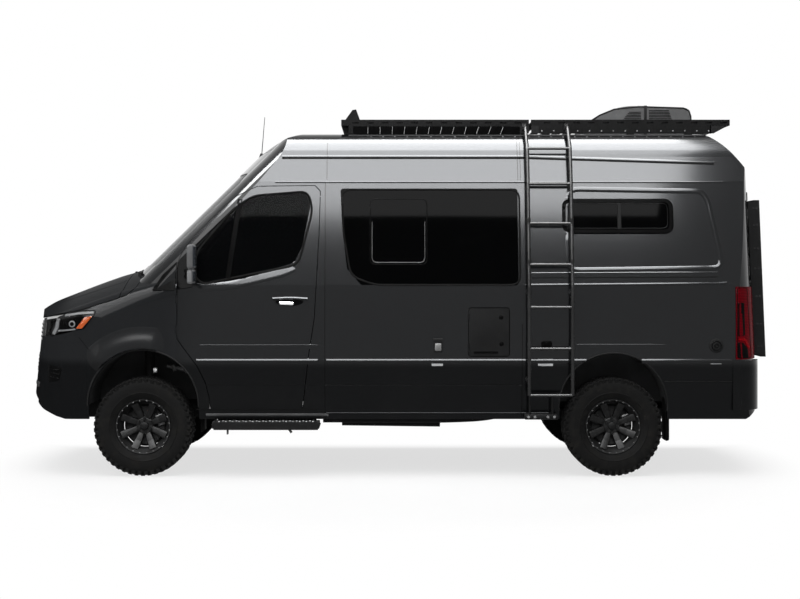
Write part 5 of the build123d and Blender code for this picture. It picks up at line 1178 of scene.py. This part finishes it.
def upholstered(name, word, finish, piping_finish, inset, size, radius, rise_top, channels, stand, dimples=()):
    """Padded piece with piping along its upper edge."""
    soft = built("%s_%s" % (name, word), finish, [(cushion, size, radius, rise_top, channels, stand, dimples)],
                 slot="seat_fabric", sharp=60)
    half_x, half_y = size[0] * inset[0] / 2, size[1] * inset[1] / 2
    path = pad(-half_x, -half_y, half_x, half_y, 0.05)
    points = [tuple(stand @ Vector((p.x, p.y, size[2] * PIPING_HEIGHT))) for p in path]
    pipe("%s_piping_%s" % (name, word), points + points[:1], PIPING_RADIUS, piping_finish)


seat_frames = []
for side, word in SIDES:
    y = side * 0.44
    forms = [(block, (-1.105, y - 0.195, 0.721), (-0.715, y + 0.195, 0.99), 0.012)]
    forms += [(block, (-1.15, y + low, 0.985), (-0.68, y + low + 0.036, 1.022), 0.004) for low in (-0.188, 0.152)]
    forms += [(block, (-0.72, y + low, 1.04), (-0.64, y + low + 0.04, 1.24), 0.012) for low in (-0.245, 0.205)]
    forms += [(bar, (-0.585, y + out, 1.56), (-0.565, y + out, 1.69), 0.006, 10) for out in (-0.06, 0.06)]
    seat_frames.append(built("seat_frame_" + word, dash_plastic, forms))
    for part, size, radius, rise_top, channels, x, z, tip in (
        ("base", (0.5, 0.48, 0.125), 0.045, 0.016, (-0.62, 0.62), -0.905, 1.092, -4),
        ("back", (0.56, 0.46, 0.105), 0.042, 0.014, (-0.6, 0.6), -0.615, 1.385, -79),
        ("head", (0.16, 0.27, 0.085), 0.036, 0.008, (), -0.548, 1.722, -79),
    ):
        stand = Matrix.Translation((x, y, z)) @ Matrix.Rotation(radians(tip), 4, "Y")
        upholstered("seat_" + part, word, seat_cloth, seal_rubber_and_shade, (0.93, 0.93),
                    size, radius, rise_top, channels, stand)
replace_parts(seat_frames[0], "seats")

BUTTONS = [(u, v) for u in (-0.66, -0.22, 0.22, 0.66) for v in (-0.4, 0.4)]
for word, low, high in (("left", -0.865, -0.004), ("right", 0.004, 0.865)):
    stand = Matrix.Translation((1.9045, (low + high) / 2, 1.383))
    upholstered("mattress", word, pale_cloth, seat_cloth, (0.97, 0.95), (1.33, high - low, 0.12), 0.034, 0.014,
                (), stand, BUTTONS)

door_starts = [-0.405 + 0.312 * k for k in range(3)]
built("cabinet_fronts", cabinet_wood, [(block, (x, -0.4805, 0.8), (x + 0.302, -0.472, 1.39), 0.003)
                                       for x in door_starts], slot="cabinet_wood")
built("cabinet_knobs", steel, [(bar, (x + 0.255, -0.473, 1.33), (x + 0.255, -0.452, 1.33), 0.012, 20)
                               for x in door_starts])
built("cabinet_worktop", dash_plastic, [(block, (-0.4155, -0.92, 1.46), (0.5245, -0.475, 1.472), 0.003)])
built("dash_vents", gloss_black, [
    (block, (-1.47, y - 0.075, 1.3), (-1.425, y + 0.075, 1.352), 0.006) for y in (-0.7, -0.14, 0.14, 0.7)] + [
    (block, (-1.56, -0.6, 1.405), (-1.47, -0.28, 1.452), 0.015),
    (block, (-1.445, -0.13, 1.08), (-1.405, 0.13, 1.25), 0.012)])
built("column_stalks", black_plastic, [
    (bar, (-1.315, -0.44 + way * 0.03, 1.385), (-1.3, -0.44 + way * 0.165, 1.395), 0.008, 12) for way in (-1, 1)])
